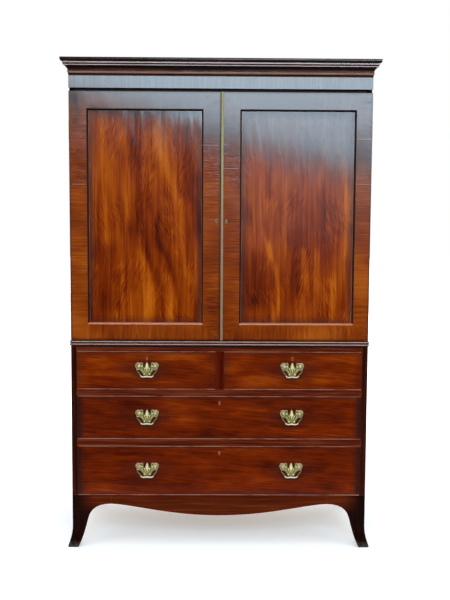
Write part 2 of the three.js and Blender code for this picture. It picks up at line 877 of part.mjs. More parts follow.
function tray(level) {
  const half = upperInner - trayPlay;
  const depth = [trayFront, trayFront + trayLength];
  const walls = [level, level + trayHeight];
  const tongue = upperInner + trayTongue;
  let shape = board([-tongue, tongue], depth, [level, level + trayBottomThickness]);
  for (const [, hand] of hands) {
    shape = shape.add(board(span(hand * half, hand * (half - traySideThickness)), depth, walls));
  }
  shape = shape.add(board([-half, half], [depth[1] - traySideThickness, depth[1]], walls));
  return shape.add(prism(trayFrontOutline(half, level), 'y', [depth[0], depth[0] + traySideThickness]));
}

trayLevels.forEach((level, i) => add(`tray_${i + 1}`, tray(level), oak));

// Drawers

function tailOutline(middle, room) {
  const root = drawerFrontThickness + overrun;
  const end = drawerFrontThickness - tailDepth - room;
  const half = tailRootWidth / 2 + room;
  const lean = (tailSpread * (root - end)) / tailDepth;
  return [[root, middle - half + lean - tailSpread], [root, middle + half - lean + tailSpread],
    [end, middle + half + tailSpread], [end, middle - half - tailSpread]];
}

const cockBead = [
  [0, cockBeadSeat],
  ...beadLine(0, -cockBeadRise, 0, cockBeadWidth).map(([depth, inward]) => [inward, depth]),
  [cockBeadWidth, cockBeadSeat],
];

function drawer(name, opening, rowFoot, rowHeight) {
  const x = widened(opening, -drawerPlay);
  const z = [rowFoot + runGap, rowFoot + rowHeight - drawerPlay];
  const box = widened(opening, -sidePlay);
  const inside = widened(box, -drawerSideThickness);
  const depth = [drawerFrontThickness, drawerLength];
  const sideHeight = [z[0], z[1] - drawerSideDrop];
  const walls = [[box[0], inside[0]], [inside[1], box[1]]];
  const bottomHeight = [z[0] + drawerBottomLift, z[0] + drawerBottomLift + drawerBottomThickness];
  const bottom = board(
    widened(inside, drawerSideThickness / 2),
    [drawerFrontThickness - drawerBottomHousing, drawerLength],
    bottomHeight,
  );
  const backDepth = [drawerLength - drawerBackThickness, drawerLength];
  let shape = bottom.add(board(box, backDepth, [z[0], z[1] - drawerBackDrop]));
  let front = board(x, [0, drawerFrontThickness], z).add(frontFrame(cockBead, x, z)).subtract(bottom);
  const tails = Math.floor(rowHeight / tailPitch);
  walls.forEach((wall, end) => {
    shape = shape.add(board(wall, depth, sideHeight));
    const socket = end ? [wall[0] - fitGap, x[1] + overrun] : [x[0] - overrun, wall[1] + fitGap];
    for (let i = 0; i < tails; i++) {
      const middle = rowFoot + (rowHeight * (i + 0.5)) / tails;
      shape = shape.add(prism(tailOutline(middle, 0), 'x', wall));
      front = front.subtract(prism(tailOutline(middle, fitGap), 'x', socket));
    }
  });
  add(`drawer_${name}_box`, shape, oak);
  return front;
}

// Handles: a lobed plate, two posts bolted through the drawer front, and a bail that swings in them

const postProfile = [
  [0, drawerFrontThickness + nutThickness],
  [nutRadius, drawerFrontThickness + nutThickness],
  [nutRadius, drawerFrontThickness],
  [shankRadius, drawerFrontThickness],
  [shankRadius, -plateThickness / 2],
  [rosetteRadius, -plateThickness / 2],
  [rosetteRadius, -plateThickness],
  [postNeckRadius, -plateThickness - rosetteRise],
];
const headStart = Math.asin(postNeckRadius / postHeadRadius);
for (let i = 0; i <= headSteps; i++) {
  const turn = headStart + ((Math.PI - headStart) * i) / headSteps;
  const radius = i < headSteps ? postHeadRadius * Math.sin(turn) : 0;
  postProfile.push([radius, -postReach + postHeadRadius * Math.cos(turn)]);
}

function post(x, z) {
  const outline = postProfile.map(([radius, depth]) => new THREE.Vector2(radius, depth));
  const geometry = new THREE.LatheGeometry(outline, postSides);
  return solid(geometry.translate(x, 0, z));
}

function plate(x, z) {
  const half = plateShares.map(([across, up]) => [across * plateHalfWidth, up * plateHalfHeight]);
  const outline = [...half, ...half.map(([a, b]) => [-a, b]).reverse()];
  const faces = [-plateThickness, 0];
  let shape = prism(outline.map(([a, b]) => [x + a, z + b]), 'y', faces);
  for (const [, hand] of hands) {
    const [across, up] = pierceShare;
    const centre = [x + hand * across * plateHalfWidth, z + up * plateHalfHeight];
    shape = shape.subtract(prism(circle(centre, pierceRadius, wireSides), 'y', widened(faces, overrun)));
    const postX = x + (hand * postSpacing) / 2;
    const postZ = z + postLift;
    const hole = circle([-postReach, postZ], bailPinHole, postSides);
    const mouth = postX + hand * postHeadRadius;
    const bottomOfHole = mouth - hand * (bailPinLength + fitGap);
    shape = shape.add(post(postX, postZ));
    shape = shape.subtract(prism(hole, 'x', span(bottomOfHole, mouth + hand * overrun)));
  }
  return shape;
}

function wireRadius(across) {
  const grip = Math.max(0, 1 - Math.abs(across) / (postSpacing / 2));
  const arm = bailArmRadius + (bailGripRadius - bailArmRadius) * Math.sin((Math.PI / 2) * grip);
  return Math.abs(across) > bailShares[0][0] * bailReach - fitGap ? bailPinRadius : arm;
}

function bail(x, z) {
  const place = ([across, drop]) => new THREE.Vector3(across * bailReach, 0, drop * bailDrop);
  const half = bailShares.map(place);
  const other = half.slice(0, -1).map((p) => new THREE.Vector3(-p.x, 0, p.z)).reverse();
  const curve = new THREE.CatmullRomCurve3([...half, ...other], false, 'centripetal');
  const pinStart = postSpacing / 2 + postHeadRadius - bailPinLength;
  const pinEnd = new THREE.Vector3(pinStart, 0, 0);
  const centres = [pinEnd, ...curve.getSpacedPoints(bailSteps), pinEnd.clone().negate()];
  const rings = centres.map((centre, i) => {
    const before = centres[Math.max(i - 1, 0)];
    const after = centres[Math.min(i + 1, centres.length - 1)];
    const along = after.clone().sub(before).normalize();
    const radius = i < 2 || i > centres.length - 3 ? bailPinRadius : wireRadius(centre.x);
    return circle([0, 0], radius, wireSides).map(([a, b]) => [
      x + centre.x - along.z * a,
      -postReach + b,
      z + postLift + centre.z + along.x * a,
    ]);
  });
  return loft(rings);
}

function finishDrawer(name, front, handles, keyholeX, rowFoot, rowHeight) {
  const z = rowFoot + rowHeight / 2 + handleLift;
  let shape = front;
  for (const [label, x] of handles) {
    for (const [, hand] of hands) {
      const hole = circle([x + (hand * postSpacing) / 2, z + postLift], shankHole, postSides);
      shape = shape.subtract(prism(hole, 'y', [-overrun, drawerFrontThickness + overrun]));
    }
    add(`handle_plate_${label}`, plate(x, z), brass);
    add(`handle_bail_${label}`, bail(x, z), brass);
  }
  const keyholeZ = rowFoot + rowHeight - keyholeDrop;
  const through = [-overrun, drawerFrontThickness + overrun];
  add(`drawer_${name}_front`, shape.subtract(keyhole(keyholeX, keyholeZ, through)), redMahogany);
}

for (const [name, hand] of hands) {
  const opening = span(hand * dividerWidth / 2, hand * lowerInner);
  const front = drawer(`short_${name}`, opening, topRowFoot, topRowHeight);
  const x = hand * handleSpread;
  finishDrawer(`short_${name}`, front, [[`short_${name}`, x]], x, topRowFoot, topRowHeight);
}
for (const [name, rowFoot, rowHeight] of [
  ['middle', middleRowFoot, middleRowHeight],
  ['bottom', footHeight, bottomRowHeight],
]) {
  const front = drawer(name, [-lowerInner, lowerInner], rowFoot, rowHeight);
  const handles = hands.map(([side, hand]) => [`${name}_${side}`, hand * handleSpread]);
  finishDrawer(name, front, handles, 0, rowFoot, rowHeight);
}

// The origin is on the floor, under the middle of the whole press
press.position.y = -(caseDepth - corniceProjection) / 2;

export default press;
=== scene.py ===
"""A linen press in old mahogany with brass handles: finishes, brasswork, camera and light.

Lengths are in metres, or in millimetres where a comment says so. Z is up and the front faces -Y.
"""

import math
from functools import reduce

import bpy
import numpy as np
from mathutils import Matrix, Vector
from mathutils.geometry import delaunay_2d_cdt


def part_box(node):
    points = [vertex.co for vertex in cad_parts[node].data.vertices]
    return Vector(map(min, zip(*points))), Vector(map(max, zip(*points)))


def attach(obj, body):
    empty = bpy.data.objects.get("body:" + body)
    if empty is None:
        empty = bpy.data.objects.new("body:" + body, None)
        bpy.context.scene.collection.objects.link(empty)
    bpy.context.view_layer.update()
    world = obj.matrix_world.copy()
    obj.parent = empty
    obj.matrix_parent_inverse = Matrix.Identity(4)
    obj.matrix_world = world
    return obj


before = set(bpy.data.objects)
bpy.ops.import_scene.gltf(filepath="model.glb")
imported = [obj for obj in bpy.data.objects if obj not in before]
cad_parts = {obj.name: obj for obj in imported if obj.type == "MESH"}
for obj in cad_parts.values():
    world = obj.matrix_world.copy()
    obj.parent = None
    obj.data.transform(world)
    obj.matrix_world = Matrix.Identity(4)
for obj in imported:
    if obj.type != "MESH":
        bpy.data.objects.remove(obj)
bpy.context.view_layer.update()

MM = 0.001
WHITE = (1.0, 1.0, 1.0, 1.0)

# Planes that look forward or back, as y
PLATE_FACE = -0.26665     # the plates' fronts
FRONT = -0.26525          # the doors' and drawers' fronts
BACK_OF_PAINTED_VEIL = -0.250    # behind this the doors have no painted sky veil, and no joints show
DRAWER_BACK = -0.24525    # the drawer fronts' inner faces
DOOR_BACK = -0.24325      # the doors' inner faces
CASE_FACE = -0.24175      # the case's front edges, behind the doors

# The middles of each drawer's plates, as (x, z)
HANDLES = {
    "short_left": [(-0.299, 0.749)], "short_right": [(0.299, 0.749)],
    "middle": [(-0.299, 0.552), (0.299, 0.552)], "bottom": [(-0.299, 0.328), (0.299, 0.328)],
}


# Camera

IMAGE_WIDTH = 450
FOCAL_PIXELS = 860.0
CAMERA_PLACE = Vector((-0.021, -3.766, 1.349))
CAMERA_PITCH = math.radians(5.112)
CAMERA_YAW = math.radians(0.677)
CAMERA_ROLL = math.radians(0.326)


def place_camera():
    """The camera looks along +Y, turned a little to the right and down, then rolled about its own axis."""
    lens = bpy.data.cameras.new("camera")
    lens.sensor_fit = "HORIZONTAL"
    lens.sensor_width = 36.0
    lens.lens = lens.sensor_width * FOCAL_PIXELS / IMAGE_WIDTH
    camera = bpy.data.objects.new("camera", lens)
    turned = Matrix.Rotation(-CAMERA_YAW, 4, "Z") @ Matrix.Rotation(math.pi / 2.0 - CAMERA_PITCH, 4, "X")
    rolled = turned @ Matrix.Rotation(CAMERA_ROLL, 4, "Z")
    camera.matrix_world = Matrix.Translation(CAMERA_PLACE) @ rolled
    bpy.context.scene.collection.objects.link(camera)
    bpy.context.scene.camera = camera


# Node graphs

def linear(red, green, blue):
    """A colour given in 0 to 255 display values, as the linear values that a shader takes."""
    shares = np.array([red, green, blue]) / 255.0
    low = shares / 12.92
    high = ((shares + 0.055) / 1.055) ** 2.4
    return (*np.where(shares <= 0.04045, low, high).tolist(), 1.0)


def math_node(operation):
    """A method of Term that makes a Math node."""
    def method(term, *others):
        return term.graph.math(operation, term, *others)
    return method


class Term:
    """A value in a node graph. Sums and products of terms become Math nodes.

    Over gives 1 where the term is greater than the other value, 0 elsewhere.
    """

    def __init__(self, graph, socket):
        self.graph = graph
        self.socket = socket

    __add__ = math_node("ADD")
    __sub__ = math_node("SUBTRACT")
    __mul__ = math_node("MULTIPLY")
    __truediv__ = math_node("DIVIDE")
    __abs__ = math_node("ABSOLUTE")
    over = math_node("GREATER_THAN")
    least = math_node("MINIMUM")
    most = math_node("MAXIMUM")

    def __radd__(self, other):
        return self.graph.math("ADD", other, self)

    def __rsub__(self, other):
        return self.graph.math("SUBTRACT", other, self)

    def bell(self, middle, width):
        """1 at the middle, falling off on both sides like exp(-t squared)."""
        away = (self - middle) / width
        return self.graph.math("EXPONENT", away * away * -1.0)

    def rise(self, start, end):
        """A smooth step from 0 at start to 1 at end."""
        inputs = {"Value": self, "From Min": start, "From Max": end}
        node = self.graph.make("ShaderNodeMapRange", inputs, interpolation_type="SMOOTHSTEP")
        return Term(self.graph, node.outputs["Result"])


class Graph:
    """One node graph, of a material or of the world."""

    def __init__(self, tree):
        self.tree = tree

    def make(self, kind, inputs, **settings):
        """A node with its settings, and values or terms for its inputs by name or number."""
        node = self.tree.nodes.new(kind)
        for key, value in settings.items():
            setattr(node, key, value)
        for key, value in inputs.items():
            self.feed(node.inputs[key], value)
        return node

    def feed(self, socket, value):
        if isinstance(value, Term):
            self.tree.links.new(value.socket, socket)
        else:
            socket.default_value = value

    def math(self, operation, *values):
        return Term(self, self.make("ShaderNodeMath", dict(enumerate(values)), operation=operation).outputs[0])

    def axes(self, vector):
        """The three parts of a vector."""
        return [Term(self, part) for part in self.make("ShaderNodeSeparateXYZ", {0: vector}).outputs]

    def vector(self, x, y, z):
        return Term(self, self.make("ShaderNodeCombineXYZ", {0: x, 1: y, 2: z}).outputs[0])

    def noise(self, vector, factors, detail=2.0, roughness=0.5):
        """Smooth noise from 0 to 1, with that many waves a metre along each axis."""
        stretched = self.make("ShaderNodeVectorMath", {0: vector, 1: factors}, operation="MULTIPLY")
        place = Term(self, stretched.outputs[0])
        inputs = {"Vector": place, "Scale": 1.0, "Detail": detail, "Roughness": roughness}
        return Term(self, self.make("ShaderNodeTexNoise", inputs).outputs[0])

    def blend(self, factor, first, second, kind="RGBA"):
        """A colour, or a vector where kind is VECTOR, that goes from first to second with the factor."""
        node = self.make("ShaderNodeMix", {"Factor": factor}, data_type=kind)
        sockets = [socket for socket in node.inputs if socket.type == kind]
        self.feed(sockets[-2], first)
        self.feed(sockets[-1], second)
        return Term(self, [socket for socket in node.outputs if socket.type == kind][0])

    def ramp(self, factor, stops):
        """A colour that runs through the stops, given as (place, colour)."""
        node = self.make("ShaderNodeValToRGB", {"Fac": factor})
        ramp = node.color_ramp
        while len(ramp.elements) < len(stops):
            ramp.elements.new(0.5)
        for element, (place, colour) in zip(ramp.elements, stops):
            element.position = place
            element.color = colour
        return Term(self, node.outputs["Color"])


# How far from a sharp corner the arris colour reaches: wear, and on polish also a painted highlight
ARRIS = 0.0014


class Finish(Graph):
    """A material on a Principled shader, with the piece's own place as x, y and z."""

    def __init__(self, name):
        self.material = bpy.data.materials.new(name)
        self.material.use_nodes = True
        super().__init__(self.material.node_tree)
        self.shader = self.tree.nodes["Principled BSDF"]
        coordinates = self.make("ShaderNodeTexCoord", {})
        self.place = Term(self, coordinates.outputs["Object"])
        self.x, self.y, self.z = self.axes(self.place)

    def set(self, socket, value):
        """Gives one of the shader's sockets a value or a term."""
        self.feed(self.shader.inputs[socket], value)

    def colour(self, value, wear_and_sheen=None, share=0.0, radius=ARRIS):
        """The base colour, which goes over to the arris colour by that share on sharp corners: wear, and on
        polish also a painted highlight.
        """
        if wear_and_sheen:
            value = self.blend(self.sharp_arris(radius) * share, value, wear_and_sheen)
        self.set("Base Color", value)

    def clouds(self, pitch, detail=2.0, roughness=0.5):
        """Noise with that many waves a metre in every direction."""
        return self.noise(self.place, (pitch, pitch, pitch), detail, roughness)

    def rounded_normal(self, radius):
        """A normal that turns smoothly over corners."""
        return Term(self, self.make("ShaderNodeBevel", {"Radius": radius}, samples=4).outputs["Normal"])

    def complete(self, roughness, height, depth, radius):
        """The material, after its roughness, and bumps of that depth over corners rounded by the radius."""
        self.set("Roughness", roughness)
        inputs = {"Distance": depth, "Height": height, "Normal": self.rounded_normal(radius)}
        bumps = Term(self, self.make("ShaderNodeBump", inputs).outputs["Normal"])
        self.set("Normal", bumps)
        self.set("Coat Normal", bumps)
        return self.material

    def sharp_arris(self, radius):
        """1 on sharp corners, where the rounded normal leaves the true one, 0 on flat faces."""
        true_normal = Term(self, self.make("ShaderNodeNewGeometry", {}).outputs["Normal"])
        inputs = {0: self.rounded_normal(radius), 1: true_normal}
        dot = self.make("ShaderNodeVectorMath", inputs, operation="DOT_PRODUCT")
        return (1.0 - Term(self, dot.outputs["Value"])).rise(0.02, 0.2)


# Woods

def stops(*colours, places=(0.1, 0.5, 0.9)):
    """The stops of a ramp, from dark to light, with their colours in display values."""
    return [(place, linear(*colour)) for place, colour in zip(places, colours)]


FLAME_COLOURS = stops((66, 15, 1), (120, 37, 1), (156, 62, 2), (200, 100, 14), places=(0.02, 0.35, 0.6, 0.98))
BAND_COLOURS = stops((74, 18, 3), (140, 56, 6), (184, 92, 20))
# Greyed mahogany: the frieze's colours hold a painted reflection of the sky
FRIEZE_SKY_SHEEN_COLOURS = stops((88, 69, 66), (98, 80, 76), (108, 90, 86))
DRAWER_COLOURS = stops((66, 10, 1), (120, 36, 1), (170, 72, 8))
CASE_COLOURS = stops((26, 5, 3), (48, 14, 8), (84, 34, 18))
RAIL_COLOURS = stops((48, 8, 3), (92, 30, 13), (138, 66, 36))
APRON_COLOURS = stops((54, 12, 3), (82, 26, 7), (112, 48, 16))
DIVIDER_COLOURS = stops((46, 6, 1), (76, 13, 1), (104, 30, 8))
CORNICE_COLOURS = stops((24, 8, 5), (50, 22, 14), (84, 44, 30))
FOOT_COLOURS = stops((10, 2, 1), (22, 5, 3), (46, 14, 8))
# Dirt in joints and on nails, and also painted shade in mouldings, gaps and round the plates
DIRT_AND_SHADE = linear(26, 6, 3)
# Painted reflection of the sky: a grey veil over the top of the doors
PAINTED_SKY_VEIL = linear(70, 54, 46)
# Wear on arrises, and also painted highlights on arrises, beads, crests and ledges
WEAR_AND_HIGHLIGHT = linear(190, 128, 100)
# Painted grey sky sheen on the feet's toes
TOE_SHEEN = linear(96, 92, 90)
DUST = linear(86, 60, 40)
BARE_WOOD = linear(190, 160, 120)

# The colours of unpolished wood, with how many bands and streaks its figure has a metre
OAK = (stops((122, 82, 42), (162, 116, 66), (194, 150, 94)), 50.0, 300.0)
PINE = (stops((132, 90, 48), (174, 128, 74), (202, 160, 104)), 30.0, 160.0)

PLAIN_STREAKS = 170.0     # streaks a metre in plain mahogany
SWAY = 0.02               # how far bands and streaks sway in plain wood
GRAIN_DEPTH = 0.0001
SOFT_CORNER = 0.0012      # how far polish rounds the corners
PORE_SHARE = 0.35         # how far pores take the colour to the wood's darkest
# The heights over which the painted sky veil comes in
PAINTED_VEIL_LEVELS = (1.58, 1.78)
COCK_BEAD = 0.0032        # the width of the bead round a drawer front
DRAWER_GLOSS = 0.75
MOULDING = 0.0065         # the width of the moulding round a panel
HIDDEN_EDGE = 0.0058      # how far a panel's edge runs on behind the moulding
GLEAM = 0.0032            # how far light from the moulding reaches over a panel
NAIL_SPOT = (0.000002, 0.000012)    # the squares of the radii between which a nail's spot fades
FADE = 0.03               # the share of a panel's height in which a tongue fades
LIP = 0.03                # the depth of the mahogany strip on the front edge of a pine board
BAND_EDGE = 0.0006        # half the width of a band's soft edges

# Heights between which painted shade darkens the joints, gaps and mouldings, and between which painted
# highlights make their crests pale
CASE_SHADE_BANDS = [(1.868, 1.886)]
TOP_BOARD_SHADE_BANDS = [(0.8405, 0.8460)]
CORNICE_SHADE_BANDS = [(1.934, 1.9410), (1.9600, 1.9698), (1.9736, 1.9788), (1.9848, 1.9885), (1.9962, 2.0010)]
CORNICE_HIGHLIGHT_BANDS = [(1.9418, 1.9478), (1.9705, 1.9729), (1.9795, 1.9840)]
WAIST_SHADE_BANDS = [(0.845, 0.8486), (0.8545, 0.8600), (0.8655, 0.8700)]
WAIST_HIGHLIGHT_BANDS = [(0.8498, 0.8536), (0.8606, 0.8642)]

# Each door frame: the widths of its left and right stile and its bottom and top rail, where its grain starts,
# how much darker and redder it gets to its right, the joints in its veneer as (start x, end x, z), nails as
# (x, z), and dark patches as (x, z, half width, half height, strength): dirt, and painted shade at the
# left door's top outer corner
DOOR_FRAMES = {
    "left": (
        (0.071, 0.070, 0.065, 0.069), 0.0, 0.2, [(-0.075, -0.010, 1.659), (-0.600, -0.545, 1.50)],
        [(-0.058, 1.849)], [(-0.590, 1.830, 0.055, 0.120, 0.95), (-0.500, 1.808, 0.060, 0.014, 0.50)]),
    "right": (
        (0.078, 0.064, 0.065, 0.069), 3.1, -0.3,
        [(0.013, 0.072, 1.567), (0.552, 0.609, 1.687), (0.552, 0.609, 1.506)],
        [], [(0.025, 1.357, 0.015, 0.012, 0.80), (0.597, 1.834, 0.015, 0.004, 0.75)]),
}

# The panels' figure. Each tongue has a line of (x, z) places and a half width, in mm, and a strength in
# hundredths, which is below zero where it is dark.
LEFT_TONGUES = [
    ([(-470, 1800), (-465, 1420), (-455, 1250)], 50, 22),
    ([(-405, 1750), (-389, 1650), (-375, 1500), (-365, 1340)], 18, 40),
    ([(-338, 1780), (-333, 1500), (-317, 1300), (-290, 1200), (-252, 1100), (-250, 950)], 16, -55),
    ([(-290, 1500), (-275, 1340), (-262, 1240)], 14, -30),
    ([(-255, 1760), (-245, 1660), (-215, 1560), (-172, 1430), (-155, 1230), (-128, 1100)], 20, 42),
    ([(-300, 1750), (-295, 1620)], 22, 25),
    ([(-136, 1780), (-131, 1570), (-129, 1460)], 20, -60),
    ([(-128, 1480), (-95, 1400), (-82, 1280)], 16, -45),
    ([(-240, 1400), (-248, 1280), (-215, 1200), (-186, 1080), (-172, 940)], 14, -50),
    ([(-331, 1240), (-306, 1170), (-303, 940)], 20, 50),
    ([(-212, 1160), (-196, 1060), (-198, 940)], 12, 35),
    ([(-480, 1280), (-460, 1100), (-450, 970)], 55, -50),
    ([(-380, 1220), (-372, 1050)], 24, -30),
    ([(-100, 1300), (-95, 1020)], 14, 30),
]
RIGHT_TONGUES = [
    ([(108, 1440), (126, 1330)], 20, -40),
    ([(126, 1250), (150, 1120), (146, 1000)], 26, -45),
    ([(173, 1320), (201, 1230), (228, 1140), (231, 950)], 12, 50),
    ([(270, 1550), (262, 1350), (270, 1200)], 14, 35),
    ([(318, 1360), (312, 1200), (320, 1040)], 22, -45),
    ([(335, 1260), (355, 1060)], 12, 42),
    ([(392, 1260), (398, 1060)], 13, 38),
    ([(420, 1500), (430, 1100)], 24, -35),
    ([(460, 1150), (462, 950)], 14, 42),
    ([(495, 1620), (512, 1400), (520, 1200)], 18, 38),
    ([(490, 1120), (510, 960)], 24, -35),
    ([(200, 1700), (190, 1450)], 12, -30),
    ([(128, 1020), (136, 950)], 30, 30),
]

# Each door panel: where its grain starts, its tongues, the haze on its polish and the depth of its ripples
DOOR_PANELS = {"left": (0.0, LEFT_TONGUES, 0.088, 0.0014), "right": (5.3, RIGHT_TONGUES, 0.14, 0.0008)}


def figure(finish, grain, band, streak=PLAIN_STREAKS, wander=SWAY, contrast=1.0):
    """The tone of wood, its streaks and its pores, from a place measured (across, through, along) the grain.

    Broad bands, finer streaks and fibres, all drawn out along the grain, are added up. Slow noise moves the
    place sideways, so the bands sway. Pores are short dark dashes.
    """
    sway = finish.noise(grain, (4.0, 4.0, 2.5), 1.0) - 0.5
    across, through, along = finish.axes(grain)
    swayed = finish.vector(across + sway * wander, through, along)
    bands = finish.noise(swayed, (band, band, band * 0.07), 2.0, 0.55)
    streaks = finish.noise(swayed, (streak, streak, streak * 0.02), 2.0, 0.6)
    fibres = finish.noise(swayed, (1500.0, 1500.0, 24.0), 1.0)
    pores = finish.noise(swayed, (1100.0, 1100.0, 34.0), 1.0).rise(0.6, 0.75)
    tone = ((bands - 0.5) * 0.9 + (streaks - 0.5) * 1.0 + (fibres - 0.5) * 0.3) * contrast + 0.5
    return tone, streaks, pores


def polish(finish, tone, colours, streaks, pores, dark=None, pale=None, sky_veil=0.0, wear_and_sheen=0.25, ripple=0.0006,
           ripple_pitch=(16.0, 16.0, 4.5)):
    """French polish: the tone coloured, darkened by dirt and painted shade, and made paler on the arrises and
    under the pale mask, by wear and painted highlights.

    The polished face isn't flat: it ripples a little, so reflections are drawn out, and pores stay open in it.
    The sky veil is the share by which a painted reflection of the sky greys the top of the doors.
    """
    colour = finish.ramp(tone, colours)
    colour = finish.blend(pores * PORE_SHARE, colour, colours[0][1])
    # Painted reflection: a grey veil of sky over the top of the doors, reaching lower to the right
    if sky_veil:
        outside = 1.0 - finish.y.rise(BACK_OF_PAINTED_VEIL - 0.002, BACK_OF_PAINTED_VEIL)
        veiled = (finish.z + finish.x * 0.25).rise(*PAINTED_VEIL_LEVELS) * outside
        colour = finish.blend(veiled * sky_veil, colour, PAINTED_SKY_VEIL)
    if dark is not None:
        # Painted shade, and dirt, where the dark mask says
        colour = finish.blend(dark, colour, DIRT_AND_SHADE)
    if pale is not None:
        # Painted highlights, and pale lines at veneer joints, where the pale mask says
        colour = finish.blend(pale, colour, WEAR_AND_HIGHLIGHT)
    # Arrises: wear, and on polish also a painted highlight
    finish.colour(colour, WEAR_AND_HIGHLIGHT, wear_and_sheen)
    dull = finish.clouds(9.0) * 0.12
    if dark is not None:
        dull = dull + dark * 0.5
    ripples = finish.noise(finish.place, ripple_pitch, 1.0) * (ripple / GRAIN_DEPTH)
    return finish.complete(dull + 0.1, ripples + streaks * 0.6 - pores * 0.5, GRAIN_DEPTH, SOFT_CORNER)


def grain_place(finish, axis, shift=0.0):
    """The piece's place turned so that its third part runs along the grain."""
    x, y, z = finish.x, finish.y, finish.z
    if axis == "x":
        return finish.vector(z + shift, y, x)
    if axis == "y":
        return finish.vector(x + shift, z, y)
    return finish.vector(x + shift, y, z)


def from_edges(finish, low, high):
    """How far a place on a front is from the nearer side of its box, and from its top or foot."""
    return (finish.x - low.x).least(high.x - finish.x), (finish.z - low.z).least(high.z - finish.z)


def edge_distance(finish, low, high):
    """How far a place on a front is from the nearest edge of its box, seen from the front."""
    across, upward = from_edges(finish, low, high)
    return across.least(upward)


def new_polish(name, gloss=1.0, haze=0.11):
    """A finish with French polish. Gloss is 0 where the polish is rubbed off, and haze blurs what it reflects.
    """
    finish = Finish(name)
    finish.set("Coat Weight", gloss)
    finish.set("Coat Roughness", haze)
    finish.set("Specular IOR Level", 0.12 * gloss)
    return finish


def level_bands(finish, bands):
    """1 between the heights of each band, with soft edges, and 0 elsewhere."""
    soft = BAND_EDGE
    return reduce(Term.most, [
        finish.z.rise(low - soft, low + soft) * (1.0 - finish.z.rise(high - soft, high + soft))
        for low, high in bands])


def plain_mahogany(name, axis, colours, shift, band=30.0, wear_and_sheen=0.25, gloss=1.0, shade_bands=(), highlight_bands=()):
    """Polished mahogany boards and mouldings.

    Shade bands are the heights between which painted shade darkens a moulding's recesses and its gloss is gone.
    Highlight bands are the heights between which a painted highlight makes its crests pale.
    """
    finish = new_polish(name, gloss)
    tone, streaks, pores = figure(finish, grain_place(finish, axis, shift), band)
    dark = pale = None
    if shade_bands:
        # Painted shade in the recesses
        dark = level_bands(finish, shade_bands)
        finish.set("Coat Weight", (1.0 - dark) * gloss)
        dark = dark * 0.92
    if highlight_bands:
        # Painted highlight on the crests
        pale = level_bands(finish, highlight_bands) * (finish.noise(finish.place, (9.0, 30.0, 30.0)) * 0.7 + 0.3)
    return polish(finish, tone, colours, streaks, pores, dark, pale, wear_and_sheen=wear_and_sheen)


def foot_mahogany():
    """Nearly black feet with a painted grey sky sheen on the toes. Higher up they turn to the apron's colour,
    with its level grain.
    """
    finish = new_polish("foot_mahogany", 0.05)
    upright, streaks, pores = figure(finish, grain_place(finish, "z", 0.2), 30.0)
    level, _, _ = figure(finish, grain_place(finish, "x", 0.4), 30.0)
    inward = (1.0 - abs(finish.x).rise(0.50, 0.60)) * finish.z.rise(0.13, 0.19)
    colour = finish.blend(inward, finish.ramp(upright, FOOT_COLOURS), finish.ramp(level, APRON_COLOURS))
    colour = finish.blend(pores * PORE_SHARE, colour, FOOT_COLOURS[0][1])
    # Painted highlight: a patchy grey sky sheen over the lowest part of the toes
    toe = 1.0 - finish.z.rise(0.004, 0.03)
    toe_sheen = toe * finish.noise(finish.place, (90.0, 90.0, 60.0)).rise(0.3, 0.6)
    finish.colour(finish.blend(toe_sheen * 0.35, colour, TOE_SHEEN), WEAR_AND_HIGHLIGHT, 0.25)
    return finish.complete(0.45 + streaks * 0.2, streaks * 0.6 - pores * 0.5, GRAIN_DEPTH, SOFT_CORNER)


def tongue(finish, low, high, line, width, strength, frayed):
    """A tongue of the figure: a soft stroke that follows a line of (x, z) places in mm down the panel.

    An end of it fades, unless it lies at the panel's own end.
    """
    size = high - low
    upward = (finish.z - low.z) / size.z
    curve = finish.make("ShaderNodeFloatCurve", {"Value": upward})
    points = curve.mapping.curves[0].points
    places = sorted(((z / 1000.0 - low.z) / size.z, (x / 1000.0 - low.x) / size.x) for x, z in line)
    while len(points) < len(places):
        points.new(0.5, 0.5)
    for point, place in zip(points, places):
        point.location = place
    curve.mapping.update()
    centre = Term(finish, curve.outputs[0])
    across = (finish.x - low.x) / size.x + frayed * 0.09
    body = across.bell(centre, width / size.x)
    first, last = places[0][0], places[-1][0]
    if first > FADE:
        body = body * upward.rise(first - FADE, first + 2.0 * FADE)
    if last < 1.0 - FADE:
        body = body * (1.0 - upward.rise(last - 2.0 * FADE, last + FADE))
    return body * strength


